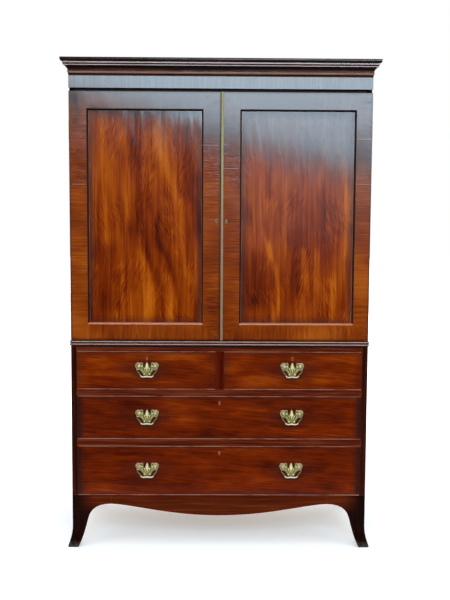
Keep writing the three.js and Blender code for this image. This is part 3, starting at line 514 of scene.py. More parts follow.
def panel_mahogany(name, node, shift, tongues, haze, ripple):
    """Flame-figured veneer: golden and dark tongues placed over a straight, streaky ground.

    Fine slanting feather lines cross the tongues. A darker band follows the edges, and along the very edge
    lies a painted highlight, the moulding's reflection.
    """
    finish = new_polish(name, haze=haze)
    low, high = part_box(node)
    grain = grain_place(finish, "z", shift)
    tone, streaks, pores = figure(finish, grain, 60.0, 125.0, 0.03, 0.66)
    frayed = finish.noise(grain, (40.0, 40.0, 5.0), 3.0, 0.6) - 0.5
    for line, width, strength in tongues:
        share = 0.62 if strength > 0 else 0.45
        tone = tone + tongue(finish, low, high, line, width / 1000.0, strength / 100.0 * share, frayed)
    where = finish.noise(finish.place, (8.0, 8.0, 4.0), 1.0)
    for lean, start, end in ((0.3, 0.5, 0.62), (-0.26, 0.5, 0.38)):
        slant = finish.vector(finish.x + finish.z * lean + frayed * 0.02, finish.y, finish.z)
        feathers = finish.noise(slant, (230.0, 230.0, 20.0), 1.5) - 0.5
        tone = tone + feathers * where.rise(start, end) * 1.05
    tone = tone + (finish.noise(finish.place, (7.0, 7.0, 3.5)) - 0.5) * 0.9
    sight = edge_distance(finish, low, high) - HIDDEN_EDGE
    rim = 1.0 - sight.rise(0.004, 0.04)
    # Painted highlight: the moulding's reflection as a pale line along the panel's edge
    gleam = (1.0 - sight.over(GLEAM)) * (finish.noise(finish.place, (30.0, 30.0, 8.0)) * 0.9)
    # The panel takes the painted sky veil at 0.8
    return polish(
        finish, tone, FLAME_COLOURS, streaks, pores, rim * 0.5, gleam, 0.8, ripple=ripple,
        ripple_pitch=(30.0, 30.0, 6.0))


def crossbanded_mahogany(name, node, rails, shift, redness, joints, nails, dirt_and_shade_patches):
    """A door frame's crossbanding: the grain runs across each stile and up each rail, mitred at the corners.

    Dirt lies along the mitres and on nails. Painted shade lies in the moulding round the panel at the top and
    sides, and along the outer edges with some dirt; the moulding's ledge at the foot has a painted highlight.
    A joint in the veneer shows on the outside as a dark line under a pale one.
    """
    finish = new_polish(name, haze=0.13)
    low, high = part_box(node)
    left, right, bottom, top = rails
    from_side = ((finish.x - low.x) / left).least((high.x - finish.x) / right)
    from_end = ((finish.z - low.z) / bottom).least((high.z - finish.z) / top)
    stile_grain = finish.vector(finish.z + shift, finish.y, finish.x)
    rail_grain = finish.vector(finish.x + shift * 2.0, finish.y, finish.z)
    grain = finish.blend(from_side.over(from_end), stile_grain, rail_grain, "VECTOR")
    tone, streaks, pores = figure(finish, grain, 130.0, 420.0, 0.006, 0.5)
    ripples = finish.noise(grain, (260.0, 260.0, 14.0), 1.0) - 0.5
    mottled = finish.noise(finish.place, (22.0, 22.0, 9.0), 1.0).rise(0.4, 0.7)
    slow = finish.noise(finish.place, (5.0, 5.0, 7.0), 1.0) - 0.5
    tone = tone + ripples * mottled * 0.9 + slow * 0.9 - (finish.x - (low.x + high.x) / 2.0) * redness
    mitre = (1.0 - abs(from_side - from_end).rise(0.0, 0.02)) * (1.0 - from_side.over(1.0))
    inside = edge_distance(finish, low + Vector((left, 0.0, bottom)), high - Vector((right, 0.0, top)))
    moulding = inside.over(-0.0008)
    ledge = moulding * (1.0 - (finish.z - low.z).over(bottom + MOULDING))
    # Painted highlight: the moulding's ledge at the foot is lighter, as if lit from above
    tone = tone + ledge * 0.5
    # Painted shade of the gaps round the door, with some dirt, along its outer edges
    edge_shade_and_dirt = 1.0 - edge_distance(finish, low, high).rise(0.001, 0.012)
    # Painted shade in the moulding at the top of the opening
    upper = moulding * finish.z.over(high.z - top - MOULDING)
    # Dirt on the mitres; painted shade in the moulding at the sides and top, and along the outer edges
    dark = (mitre * 0.15).most(moulding * 0.95 * (1.0 - ledge)).most(upper).most(edge_shade_and_dirt * 0.6)
    outside = 1.0 - finish.y.over(BACK_OF_PAINTED_VEIL)
    pale_edges = []
    for start, end, z in joints:
        here = finish.x.over(start) * (1.0 - finish.x.over(end)) * outside
        dark = dark.most(finish.z.bell(z - 0.002, 0.0016) * here * 0.8)
        pale_edges.append(finish.z.bell(z + 0.0015, 0.0014) * here * 0.7)
    coat = 1.0 - moulding * (1.0 - ledge) * 0.95
    # Dark patches: dirt, and painted shade at the left door's top outer corner
    for x, z, half_width, half_height, strength in dirt_and_shade_patches:
        dark_patch = finish.x.bell(x, half_width) * finish.z.bell(z, half_height) * strength
        dark = dark.most(dark_patch * (mottled * 0.5 + 0.6))
        coat = coat * (1.0 - dark_patch * 0.35)
    for x, z in nails:
        away = (finish.x - x) * (finish.x - x) + (finish.z - z) * (finish.z - z)
        dark = dark.most(1.0 - away.rise(*NAIL_SPOT))
    finish.set("Coat Weight", coat)
    # The frame takes the painted sky veil at 0.85
    return polish(finish, tone, BAND_COLOURS, streaks, pores, dark, reduce(Term.most, pale_edges), 0.85)


def drawer_mahogany(name, node, shift, handles, depth, dim):
    """A drawer front: horizontal grain, darker at both ends, with old wax beside the handles and painted
    shadow round each plate.

    The bead along the top and bottom edges has a painted highlight. Depth is how much darker the wood is than
    its colours, and dim is how dark the ends are.
    """
    finish = new_polish(name, DRAWER_GLOSS)
    low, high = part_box(node)
    slant = finish.vector(finish.z + finish.x * 0.07 + shift, finish.y, finish.x)
    tone, streaks, pores = figure(finish, slant, 50.0, 220.0, 0.04, 0.4)
    blotches = finish.noise(finish.place, (6.0, 6.0, 17.0))
    flecks = finish.noise(slant, (250.0, 250.0, 16.0))
    tone = tone + (blotches - 0.5) * 0.9 + (flecks - 0.5) * 0.45 - depth
    across, upward = from_edges(finish, low, high)
    dark = ((1.0 - across.rise(0.004, 0.045)) * dim).most((1.0 - upward.rise(0.003, 0.022)) * 0.45)
    for x, z in handles:
        beside = abs(finish.x - x).bell(0.075, 0.035) * finish.z.bell(z + 0.004, 0.03)
        # Painted shadow of the plate, under it and round its edges
        under = (finish.x.bell(x, 0.062) * finish.z.bell(z - 0.003, 0.04) * 1.4).least(1.0)
        dark = dark.most(beside * 0.45).most(under * 0.7)
    dark = (dark * (blotches * 1.2 + 0.3)).least(0.85)
    on_face = across.over(COCK_BEAD)
    bead = (1.0 - upward.over(COCK_BEAD)) * (1.0 - finish.y.over(FRONT + 0.002))
    finish.set("Coat Weight", (1.0 - bead.most(1.0 - on_face) * 0.85) * DRAWER_GLOSS)
    # Painted highlight along the bead at the top and bottom edges
    pale = bead * (0.08 + finish.clouds(14.0).rise(0.3, 0.62) * 0.5) * on_face
    return polish(finish, tone, DRAWER_COLOURS, streaks, pores, dark * (1.0 - bead), pale, wear_and_sheen=0.05)


def rough_wood(name, axis, wood, lipped=False):
    """Unpolished oak or pine, as on trays, drawer linings and the back, with dust in its grain.

    A lipped board has a strip of dark mahogany along its front edge.
    """
    finish = Finish(name)
    colours, band, streak = wood
    tone, streaks, pores = figure(finish, grain_place(finish, axis), band, streak)
    colour = finish.ramp(tone, colours)
    colour = finish.blend(finish.clouds(6.0, 3.0).rise(0.45, 0.8) * 0.35, colour, DUST)
    if lipped:
        lip = 1.0 - finish.y.over(FRONT + LIP)
        colour = finish.blend(lip, colour, finish.ramp(tone, CASE_COLOURS))
    finish.colour(colour, BARE_WOOD, 0.3)
    return finish.complete(0.55 + streaks * 0.25, streaks - pores, 0.00025, 0.001)


# Brass

def brass(name, bright, dull, roughness, green=0.35, metal=0.7, verdigris=None):
    """Old cast brass: dull and greenish where it is never rubbed, with bright arrises.

    Verdigris gives two heights, between which the metal turns quite green.
    """
    finish = Finish(name)
    finish.set("Metallic", metal)
    tarnish = finish.clouds(420.0, 3.0, 0.6)
    bright, dull = linear(*bright), linear(*dull)
    tone = finish.blend(tarnish.rise(0.35, 0.7) * 0.8, bright, dull)
    share = finish.clouds(60.0).rise(0.4, 0.7) * green
    if verdigris:
        share = share.most(finish.z.rise(*verdigris) * 0.5)
    tone = finish.blend(share, tone, linear(150, 168, 112))
    finish.colour(tone, bright, 0.8, 0.0008)
    return finish.complete(roughness + tarnish * 0.2, tarnish, 0.00015, 0.0005)


def bail_brass():
    """The bails: rubbed bright where fingers pull the grip, dull and brown along the arms."""
    finish = Finish("brass_bails")
    finish.set("Metallic", 0.5)
    levels = sorted({z for places in HANDLES.values() for _, z in places})
    grip = level_bands(finish, [(z - 0.036, z - 0.0245) for z in levels])
    specks = finish.clouds(300.0, 3.0, 0.6)
    dull = finish.blend(specks.rise(0.35, 0.7), linear(168, 146, 96), linear(104, 84, 46))
    bright = finish.blend(specks.rise(0.4, 0.75) * 0.6, linear(255, 238, 204), linear(222, 196, 148))
    finish.colour(finish.blend(grip, dull, bright))
    return finish.complete(0.26 + specks * 0.2, specks, 0.0001, 0.0003)


def chased_brass():
    """Cast and chased brass: brown in the hollows, green in the middle, pinkish cream at both ends."""
    finish = Finish("chased_brass")
    finish.set("Metallic", 0.35)
    raised, outer = [
        Term(finish, finish.make("ShaderNodeAttribute", {}, attribute_name=name).outputs["Fac"])
        for name in ("raised", "outer")]
    specks = finish.clouds(520.0, 3.0, 0.6)
    clouds = finish.clouds(70.0)
    tone = (raised + (specks - 0.5) * 0.35 + (clouds - 0.5) * 0.2).most(0.0)
    green = finish.ramp(tone, stops(
        (50, 40, 14), (140, 126, 60), (202, 188, 110), (255, 244, 196), places=(0.0, 0.16, 0.38, 0.65)))
    cream = finish.ramp(tone, stops(
        (74, 52, 26), (168, 140, 98), (230, 198, 152), (255, 240, 210), places=(0.0, 0.14, 0.36, 0.6)))
    finish.colour(finish.blend((outer + (clouds - 0.5) * 0.6) * 0.9, green, cream))
    return finish.complete(0.28 + specks * 0.2, specks, 0.00015, 0.0003)


def dress_frame():
    """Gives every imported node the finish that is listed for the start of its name."""
    upright = plain_mahogany("case_mahogany_upright", "z", CASE_COLOURS, 0.3, gloss=0.2, shade_bands=CASE_SHADE_BANDS)
    level = plain_mahogany("case_mahogany_level", "x", RAIL_COLOURS, 0.7, 60.0, wear_and_sheen=0.4, gloss=0.5)
    lipped = rough_wood("pine_lipped", "x", PINE, lipped=True)
    feet = foot_mahogany()
    oak = rough_wood("oak_level", "x", OAK)
    linings = rough_wood("oak_deep", "y", OAK)
    fittings = brass("brass_fittings", (214, 184, 112), (130, 106, 60), 0.3)
    frieze_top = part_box("frieze_frame")[1].z
    finishes = {
        "cornice_moulding": plain_mahogany(
            "cornice_mahogany", "x", CORNICE_COLOURS, 0.1, 40.0, wear_and_sheen=0.7, shade_bands=CORNICE_SHADE_BANDS,
            highlight_bands=CORNICE_HIGHLIGHT_BANDS),
        "frieze_frame": plain_mahogany(
            "frieze_mahogany", "z", FRIEZE_SKY_SHEEN_COLOURS, 0.5, 22.0,
            # Painted shade line along the frieze's top, under the cornice
            shade_bands=[(frieze_top - 0.003, frieze_top + 0.003)]),
        "waist_moulding": plain_mahogany(
            "waist_mahogany", "x", CORNICE_COLOURS, 0.9, wear_and_sheen=0.9, gloss=0.5, shade_bands=WAIST_SHADE_BANDS,
            highlight_bands=WAIST_HIGHLIGHT_BANDS),
        "lower_top_board": plain_mahogany(
            "top_board_mahogany", "x", RAIL_COLOURS, 0.2, 60.0, wear_and_sheen=0.4, gloss=0.5, shade_bands=TOP_BOARD_SHADE_BANDS),
        "drawer_rail": level, "upper_side": upright, "lower_side": upright,
        "short_drawer_divider": plain_mahogany("divider_mahogany", "z", DIVIDER_COLOURS, 1.1, gloss=0.3),
        "apron": plain_mahogany("apron_mahogany", "x", APRON_COLOURS, 0.4, gloss=0.05),
        "lower_bottom_board": lipped, "upper_top_board": lipped, "upper_bottom_board": lipped,
        "front_foot": feet, "rear_foot": feet, "tray": oak,
        "lower_back": rough_wood("pine_level", "x", PINE), "upper_back": rough_wood("pine_upright", "z", PINE),
        "door_lock": fittings, "hinge": fittings, "handle_bail": bail_brass(),
        "handle_plate": brass("brass_handles", (222, 204, 150), (136, 130, 78), 0.34, metal=0.6),
        "door_astragal": brass(
            "brass_strip", (196, 150, 114), (150, 112, 78), 0.42, green=0.25, verdigris=(1.25, 1.65)),
    }
    for side in ("left", "right"):
        door = f"door_{side}"
        finishes[f"{door}_frame"] = crossbanded_mahogany(
            f"crossbanding_{side}", f"{door}_frame", *DOOR_FRAMES[side])
        finishes[f"{door}_panel"] = panel_mahogany(f"flame_{side}", f"{door}_panel", *DOOR_PANELS[side])
    for number, (name, places) in enumerate(HANDLES.items()):
        front = f"drawer_{name}_front"
        depth, dim = (0.0, 0.4) if name.startswith("short") else (0.14, 0.85)
        finishes[front] = drawer_mahogany(f"drawer_mahogany_{name}", front, 1.7 * number, places, depth, dim)
        finishes[f"drawer_{name}_box"] = linings
    for name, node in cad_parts.items():
        node.material_slots[0].material = next(finishes[start] for start in finishes if name.startswith(start))



# Meshes

def smooth_step(values, start, end):
    """0 below start, 1 above end, and 3t squared minus 2t cubed between them."""
    shares = np.clip((values - start) / (end - start), 0.0, 1.0)
    return shares * shares * (3.0 - 2.0 * shares)


def mesh_object(name, points, faces):
    """An object from an array of points and a list of faces."""
    mesh = bpy.data.meshes.new(name)
    mesh.from_pydata(points.tolist(), [], faces)
    mesh.update()
    thing = bpy.data.objects.new(name, mesh)
    bpy.context.scene.collection.objects.link(thing)
    return thing


def surface(name, points, closed=False):
    """A mesh through a grid of points, rows by columns. It can be closed on itself both ways."""
    rows, columns = points.shape[:2]
    index = np.arange(rows * columns).reshape(rows, columns)
    if closed:
        index = np.pad(index, ((0, 1), (0, 1)), mode="wrap")
    quads = np.stack([index[:-1, :-1], index[:-1, 1:], index[1:, 1:], index[1:, :-1]], axis=-1)
    return mesh_object(name, points.reshape(-1, 3), quads.reshape(-1, 4).tolist())


def closed_sheet(name, front, back, faces):
    """A closed piece: the faces in front, the same turned round at the back, and walls between their rims."""
    corners = faces.shape[1]
    sides = np.concatenate([faces[:, (i, (i + 1) % corners)] for i in range(corners)])
    _, first, counts = np.unique(np.sort(sides, axis=1), axis=0, return_index=True, return_counts=True)
    start, end = sides[first[counts == 1]].T
    walls = np.stack([end, start, start + len(front), end + len(front)], axis=1)
    polygons = faces.tolist() + (faces[:, ::-1] + len(front)).tolist() + walls.tolist()
    return mesh_object(name, np.concatenate([front, back]), polygons)


def fit_brass(piece, body, material):
    """Gives a small fitting its brass and the body that it moves with."""
    piece.data.materials.append(material)
    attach(piece, body)


def raised_sheet(name, x, z, face, height, depth, toward, body, material):
    """A closed fitting on a face at y = face, over grids of places x and z.

    It stands out by height and lies in by depth, both in mm. It looks along +Y where toward is 1, and along -Y
    where it is -1.
    """
    front = np.stack([x, face + toward * height * MM, z], axis=-1)
    back = np.stack([x, np.full_like(x, face - toward * depth * MM), z], axis=-1)
    index = np.arange(x.size).reshape(x.shape)
    quads = np.stack([
        index[..., :-1, :-1], index[..., 1:, :-1], index[..., 1:, 1:], index[..., :-1, 1:]], axis=-1)
    piece = closed_sheet(
        name, front.reshape(-1, 3), back.reshape(-1, 3), quads.reshape(-1, 4)[:, ::-toward])
    fit_brass(piece, body, material)


# The chased ornament on the plates

# In mm, from a plate's middle
PLATE_BEAD = 1.5          # from the plate's edge to the crest of its bead
POST_ACROSS, POST_UP = 33.0, 10.0
LEAF_TIP, LEAF_LENGTH, LEAF_HALF_WIDTH = 29.0, 26.0, 7.5
VEIN_PITCH = 4.4
FAN_FOOT = -34.0          # where the ribs would meet
FAN_WAVES = 22.0          # waves of the ribs in each radian
SCROLL_START, SCROLL_PITCH, SCROLL_REACH = 8.0, 4.4, 20.0
BOSSES = [(10.5, -20.0, 2.8), (10.5, 2.0, 2.2), (21.0, 12.0, 2.2), (43.0, 3.0, 2.4), (0.0, -4.0, 2.6)]
RELIEF_HEIGHT = 2.8

RELIEF_STEP = 0.0008      # the pitch of the ornament's points
RELIEF_BED = 0.0004       # how far its back lies inside the plate
RELIEF_LIFT = 0.00002     # how far its lowest places stand out of the plate
CREAM_ENDS = (0.018, 0.036)    # the distances from the middle between which the brass turns to cream


def rows_of_three(items, attribute, kind):
    """One attribute of all items of a mesh, as rows of three."""
    values = np.empty(len(items) * 3, dtype=kind)
    items.foreach_get(attribute, values)
    return values.reshape(-1, 3)


def face_border(node, level):
    """The border of a node's flat face that looks forward at y = level: its edges, as pairs of (x, z) places.

    An edge of the border belongs to one triangle of the face only.
    """
    node.data.calc_loop_triangles()
    places = rows_of_three(node.data.vertices, "co", float)
    corners = rows_of_three(node.data.loop_triangles, "vertices", np.int64)
    flat = np.all(np.abs(places[corners, 1] - level) < 1e-5, axis=1)
    spots, merged = np.unique(np.round(places[:, (0, 2)], 6), axis=0, return_inverse=True)
    triangles = merged.reshape(-1)[corners[flat]]
    edges = np.sort(np.concatenate([triangles[:, (0, 1)], triangles[:, (1, 2)], triangles[:, (2, 0)]]), axis=1)
    edges, counts = np.unique(edges, axis=0, return_counts=True)
    return spots[edges[counts == 1]]


def inside_border(points, border):
    """Whether each point has an odd number of border edges straight to its right."""
    start, end = border[None, :, 0], border[None, :, 1]
    x, z = points[:, None, 0], points[:, None, 1]
    spans = (start[..., 1] > z) != (end[..., 1] > z)
    rise = np.where(spans, end[..., 1] - start[..., 1], 1.0)
    crossing = start[..., 0] + (z - start[..., 1]) * (end[..., 0] - start[..., 0]) / rise
    return np.sum(spans & (crossing > x), axis=1) % 2 == 1


def border_distance(points, border):
    """The distance from each point to the nearest edge of the border."""
    start, run = border[None, :, 0], border[None, :, 1] - border[None, :, 0]
    away = points[:, None] - start
    share = np.clip(np.sum(away * run, axis=2) / np.sum(run * run, axis=2), 0.0, 1.0)
    return np.min(np.linalg.norm(away - share[..., None] * run, axis=2), axis=1)


def plate_relief(across, up, border):
    """The height in mm of a plate's chased ornament, from places in mm from its middle.

    A bead follows the border at PLATE_BEAD. A leaf with a midrib and slanting veins stands in the middle, on
    ribs that fan out from the foot. A scroll winds round each post, and small round bosses stand between them.
    """
    x = np.abs(across)
    bead = np.exp(-((border - PLATE_BEAD) / 0.75) ** 2)
    cushion = 0.7 * (1.0 - np.exp(-border / 4.0))
    leaf_share = np.clip((LEAF_TIP - up) / LEAF_LENGTH, 0.0, 1.0)
    leaf_width = np.clip(LEAF_HALF_WIDTH * np.sqrt(leaf_share), 0.5, None)
    leaf = smooth_step(leaf_width - x, 0.0, 2.2) * smooth_step(up, -2.0, 5.0)
    veins = 0.3 * np.cos(2.0 * np.pi * (up - 0.9 * x) / VEIN_PITCH) * (1.0 - np.exp(-(x / 1.2) ** 2))
    midrib = 0.5 * np.exp(-(x / 0.8) ** 2)
    fan_angle = np.arctan2(x, up - FAN_FOOT)
    fan = 0.55 * np.cos(fan_angle * FAN_WAVES) * smooth_step(-up, -4.0, 3.0)
    post_x, post_up = x - POST_ACROSS, up - POST_UP
    reach = np.hypot(post_x, post_up)
    winding = 2.0 * np.pi * (reach - SCROLL_START) / SCROLL_PITCH - np.arctan2(post_up, post_x)
    scroll = 0.6 * np.cos(winding) * smooth_step(SCROLL_REACH - reach, 0.0, 6.0)
    height = cushion + leaf * (1.2 + veins + midrib) + (fan + scroll) * (1.0 - leaf)
    for boss_x, boss_up, radius in BOSSES:
        share = ((x - boss_x) ** 2 + (up - boss_up) ** 2) / radius ** 2
        dome = 0.9 + 1.5 * np.sqrt(np.clip(1.0 - share, 0.0, 1.0))
        height = np.where(share < 1.0, np.maximum(height, dome), height)
    return np.clip(np.maximum(height, bead) * smooth_step(border, 0.0, 0.9), 0.0, RELIEF_HEIGHT)


def chase_plate(name, x, z, body):
    """The raised ornament on one handle's plate, a closed piece that is bedded in the plate's face."""
    border = face_border(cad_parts[f"handle_plate_{name}"], PLATE_FACE)
    low, high = border.min(axis=(0, 1)), border.max(axis=(0, 1))
    across, up = np.meshgrid(
        np.arange(low[0], high[0], RELIEF_STEP), np.arange(low[1], high[1], RELIEF_STEP), indexing="ij")
    grid = np.stack([across.ravel(), up.ravel()], axis=1)
    grid = grid[inside_border(grid, border) & (border_distance(grid, border) > RELIEF_STEP * 0.6)]
    corners, edges = np.unique(np.round(border.reshape(-1, 2), 6), axis=0, return_inverse=True)
    cloud = np.concatenate([corners, grid])
    places, _, faces, *_ = delaunay_2d_cdt(
        [Vector(spot) for spot in cloud.tolist()], edges.reshape(-1, 2).tolist(), [], 1, 1e-7)
    places = np.array([tuple(spot) for spot in places])
    faces = np.array(faces)
    faces = faces[inside_border(places[faces].mean(axis=1), border)]
    distance = border_distance(places, border) / MM
    height = plate_relief((places[:, 0] - x) / MM, (places[:, 1] - z) / MM, distance)
    front = np.stack([places[:, 0], PLATE_FACE - height * MM - RELIEF_LIFT, places[:, 1]], axis=1)
    back = np.stack([places[:, 0], np.full(len(places), PLATE_FACE + RELIEF_BED), places[:, 1]], axis=1)
    piece = closed_sheet(f"plate_ornament_{name}", front, back, faces)
    outer = smooth_step(np.abs(places[:, 0] - x), *CREAM_ENDS)
    for attribute, values in (("raised", height / RELIEF_HEIGHT), ("outer", outer)):
        piece.data.attributes.new(attribute, "FLOAT", "POINT").data.foreach_set("value", np.tile(values, 2))
    piece.data.shade_smooth()
    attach(piece, body)
    return piece


# Screws, locks and keyholes

SCREW_GRID = 15
SCREW_RADIUS = 0.0032
SCREW_DOME, SCREW_LIFT, SCREW_DEPTH = 0.4, 0.05, 0.6    # in mm
SLOT_EDGES = (0.14, 0.24)    # where a slot's walls begin and end, as shares of the radius
HINGE_ACROSS = 0.5994     # from the middle of the press to the screws in a hinge leaf
HINGE_LEVELS = {"lower": 1.019, "upper": 1.722}
HINGE_SCREW_PITCH = 0.0265
DOOR_LOCK_SCREWS = [(0.0062, 1.3345), (0.0394, 1.3345), (0.0062, 1.3855), (0.0394, 1.3855)]

# The drawers' locks, in mm
LOCK_WIDTH, LOCK_HEIGHT, LOCK_DEPTH, LOCK_BED = 54.0, 40.0, 6.0, 0.5
LOCK_DROP = 3.0           # how far the middle of a lock lies below its keyhole
EASING_DEPTH, EASING_WIDTH = 1.0, 2.0
BOSS_RADIUS, BOSS_HEIGHT = 5.5, 2.0
SCREW_INSET = 6.0

# The rims of the keyholes
RIM_TOP_RADIUS = 0.0034
RIM_FOOT_RADIUS = 0.0022
RIM_DROP = 0.0088         # from the middle of the upper circle to that of the lower
RIM_THICKNESS = 0.0011

# Each keyhole's body, and its x and z
KEYHOLES = {
    "door_right": (0.024, 1.360), "door_left": (-0.016, 1.360), "drawer_short_left": (-0.299, 0.797),
    "drawer_short_right": (0.299, 0.797), "drawer_middle": (0.0, 0.611), "drawer_bottom": (0.0, 0.401),
}


def screw_heads(name, spots, face, toward, body, material):
    """Slotted screw heads let in flush with a face at y = face, which looks along +Y or, with toward -1, -Y.

    Each head is a square grid drawn to a disc: each place is shortened by the root of 1 less half the other's
    square. Its height is 1 less the square of its distance from the middle, less a slot at its own turn.
    """
    u, v = np.meshgrid(np.linspace(-1.0, 1.0, SCREW_GRID), np.linspace(-1.0, 1.0, SCREW_GRID), indexing="ij")
    disc_x, disc_z = u * np.sqrt(1.0 - v * v / 2.0), v * np.sqrt(1.0 - u * u / 2.0)
    spots = np.array(spots)[:, :, None, None]
    turn = np.sin(spots[:, 0] * 900.0 + spots[:, 1] * 700.0) * 1.5
    from_slot = np.abs(disc_x * np.cos(turn) + disc_z * np.sin(turn))
    slot = SCREW_DOME * (1.0 - smooth_step(from_slot, *SLOT_EDGES))
    height = SCREW_DOME * (1.0 - disc_x ** 2 - disc_z ** 2) + SCREW_LIFT - slot
    x, z = spots[:, 0] + disc_x * SCREW_RADIUS, spots[:, 1] + disc_z * SCREW_RADIUS
    raised_sheet(name, x, z, face, height, SCREW_DEPTH, toward, body, material)


def drawer_lock(body, x, z, material):
    """A lock on the inner face of a drawer front: a flat case with rounded edges, a boss and four screws.

    Over a grid of places the case has one depth, less up to EASING_DEPTH where smooth_step rounds its edges.
    The boss is half a flattened ball at the key's pin.
    """
    name = body.replace("drawer_", "drawer_lock_")
    half_width, half_height = LOCK_WIDTH / 2.0, LOCK_HEIGHT / 2.0
    across, up = np.meshgrid(
        np.linspace(-half_width, half_width, 55), np.linspace(-half_height, half_height, 41), indexing="ij")
    border = np.minimum(half_width - np.abs(across), half_height - np.abs(up))
    boss = np.sqrt(np.clip(1.0 - (across ** 2 + (up - LOCK_DROP) ** 2) / BOSS_RADIUS ** 2, 0.0, 1.0))
    height = LOCK_DEPTH - EASING_DEPTH * (1.0 - smooth_step(border, 0.0, EASING_WIDTH)) + BOSS_HEIGHT * boss
    places_x, places_z = x + across * MM, z + (up - LOCK_DROP) * MM
    raised_sheet(name, places_x, places_z, DRAWER_BACK, height, LOCK_BED, 1, body, material)
    reach_x, reach_z = (half_width - SCREW_INSET) * MM, (half_height - SCREW_INSET) * MM
    spots = [(x + side * reach_x, z - LOCK_DROP * MM + end * reach_z) for side in (-1, 1) for end in (-1, 1)]
    screw_heads(f"screws_{name}", spots, DRAWER_BACK + LOCK_DEPTH * MM, 1, body, material)


def keyhole_rim(body, x, z, material):
    """A half-round brass rim let in round a keyhole.

    Its path is the outline of two circles with a cord stretched round them, found from the way that each point
    faces: the point lies on the circle that reaches further that way. A round section runs along it.
    """
    facing, section = np.meshgrid(
        *[np.linspace(0.0, 2.0 * np.pi, count, endpoint=False) for count in (48, 12)], indexing="ij")
    on_top = RIM_TOP_RADIUS > RIM_FOOT_RADIUS - np.sin(facing) * RIM_DROP
    reach = np.where(on_top, RIM_TOP_RADIUS, RIM_FOOT_RADIUS) + RIM_THICKNESS * np.cos(section)
    points = np.stack([
        x + reach * np.cos(facing),
        FRONT - RIM_THICKNESS * np.sin(section),
        z - np.where(on_top, 0.0, RIM_DROP) + reach * np.sin(facing)], axis=-1)
    rim = surface(f"keyhole_rim_{body.removeprefix('drawer_')}", points, closed=True)
    rim.data.shade_smooth()
    fit_brass(rim, body, material)


def dress_brass():
    """The ornament on the six plates, the rims of the six keyholes, the drawers' locks, and the screws."""
    ornament = chased_brass()
    for drawer, places in HANDLES.items():
        for x, z in places:
            name = drawer if len(places) == 1 else f"{drawer}_{'left' if x < 0 else 'right'}"
            chase_plate(name, x, z, f"drawer_{drawer}").data.materials.append(ornament)
    pale = brass("brass_keyhole_doors", (200, 172, 120), (120, 96, 56), 0.3)
    red = brass("brass_keyhole_drawers", (196, 116, 80), (140, 70, 44), 0.5, green=0.0, metal=0.25)
    for body, place in KEYHOLES.items():
        keyhole_rim(body, *place, pale if body.startswith("door") else red)
    fittings = bpy.data.materials["brass_fittings"]
    for body, place in KEYHOLES.items():
        if body.startswith("drawer"):
            drawer_lock(body, *place, fittings)
    for side, hand in (("left", -1.0), ("right", 1.0)):
        for end, level in HINGE_LEVELS.items():
            spots = [(hand * HINGE_ACROSS, level + step * HINGE_SCREW_PITCH) for step in (-1, 0, 1)]
            screw_heads(f"screws_door_{side}_{end}", spots, DOOR_BACK, 1, f"door_{side}", fittings)
            screw_heads(f"screws_case_{side}_{end}", spots, CASE_FACE, -1, "case", fittings)
    screw_heads("screws_lock", DOOR_LOCK_SCREWS, DOOR_BACK, 1, "door_right", fittings)


# Studio

FLOOR_REACH, FLOOR_POINTS, FLOOR_LEVEL = 30.0, 13, -0.0005
DIRECT = ("Camera", "Glossy", "Transmission")    # rays that show a thing as it is, also in glass and polish
SKY = (0.6, 0.82, 1.0)
HAZE = (0.62, 0.83, 1.0)
LAMPLIGHT = (1.0, 0.97, 0.93)


def light_from(name, place, aim, width, height, power, colour, roll=0.0):
    """A rectangular lamp at a place, facing a point, turned about its own axis by roll."""
    lamp = bpy.data.lights.new(name, "AREA")
    lamp.shape = "RECTANGLE"
    lamp.size = width
    lamp.size_y = height
    lamp.energy = power
    lamp.color = colour
    holder = bpy.data.objects.new(name, lamp)
    turn = (Vector(aim) - Vector(place)).to_track_quat("-Z", "Y").to_matrix().to_4x4()
    holder.matrix_world = Matrix.Translation(Vector(place)) @ turn @ Matrix.Rotation(roll, 4, "Z")
    holder.visible_camera = False
    bpy.context.scene.collection.objects.link(holder)


def rays(graph, *kinds):
    """1 for the light paths of these kinds, 0 for the others."""
    path = graph.make("ShaderNodeLightPath", {})
    return reduce(Term.most, [Term(graph, path.outputs[f"Is {kind} Ray"]) for kind in kinds])


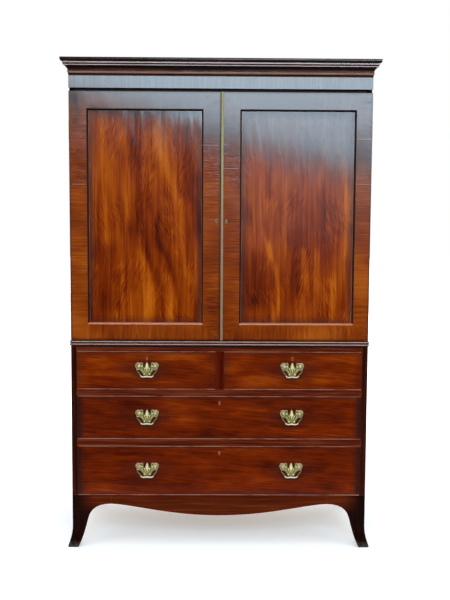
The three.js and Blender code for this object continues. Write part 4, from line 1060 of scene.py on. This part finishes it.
def build_world():
    """White for the camera all round, and a soft light from above for matt surfaces.

    In reflections it is dim in front of the press at eye level, as hedges would be.
    """
    world = bpy.data.worlds.new("studio")
    world.use_nodes = True
    bpy.context.scene.world = world
    graph = Graph(world.node_tree)
    coordinates = graph.make("ShaderNodeTexCoord", {})
    _, y, z = graph.axes(Term(graph, coordinates.outputs["Generated"]))
    seen = (y.rise(-0.8, -0.2) * 0.96 + 0.04).most(z.rise(0.3, 0.75))
    ambient = z.rise(-0.3, 1.0) * 1.1 + 0.12
    direct = rays(graph, *DIRECT)
    strength = direct * seen + (1.0 - direct) * ambient
    background = world.node_tree.nodes["Background"].inputs
    graph.feed(background["Strength"], strength.most(rays(graph, "Camera")))
    graph.feed(background["Color"], WHITE)


def build_floor():
    """A flat floor, pale round the press and behind it, and dark well in front, as grass would be.

    It is dimmer in reflections. Far away, and in front where the camera sees it, it glows white like the
    background.
    """
    steps = np.linspace(-FLOOR_REACH, FLOOR_REACH, FLOOR_POINTS)
    across, deep = np.meshgrid(steps, steps, indexing="ij")
    floor = surface("floor", np.stack([across, deep, np.full_like(across, FLOOR_LEVEL)], axis=-1))
    finish = Finish("pale_floor")
    finish.set("Roughness", 0.9)
    finish.set("Specular IOR Level", 0.0)
    camera = rays(finish, "Camera")
    share = camera * finish.y.rise(-1.9, -0.8) + (1.0 - camera) * finish.y.rise(-1.0, -0.8)
    pale = (0.05 + share * 0.82) * (1.0 - rays(finish, "Glossy") * 0.45)
    finish.colour(finish.vector(pale * 0.96, pale * 0.985, pale))
    far = (finish.x * finish.x + finish.y * finish.y).rise(1.5, 7.0) * finish.y.rise(-0.9, 0.3)
    front = (1.0 - share) * camera * 0.95
    finish.set("Emission Color", WHITE)
    finish.set("Emission Strength", (rays(finish, *DIRECT) * far.most(share * 0.3)).most(front))
    floor.data.materials.append(finish.material)


def light_scene():
    """A bright strip of sky high in front, seen in the polish, with soft lamps to both sides."""
    bpy.context.scene.view_settings.view_transform = "Standard"
    build_world()
    build_floor()
    light_from("sky_strip", (0.3, -5.5, 3.36), (0.3, 0.0, 3.36), 3.9, 2.2, 245.0, SKY, math.radians(-14.0))
    light_from("sky_haze", (0.9, -5.5, 1.7), (0.9, 0.0, 1.7), 1.5, 1.1, 3.0, HAZE)
    for name, x in (("soft_left", -3.6), ("soft_right", 3.6)):
        light_from(name, (x, -2.0, 2.4), (0.0, 0.0, 1.0), 2.0, 2.0, 14.0, LAMPLIGHT)


place_camera()
dress_frame()
dress_brass()
light_scene()
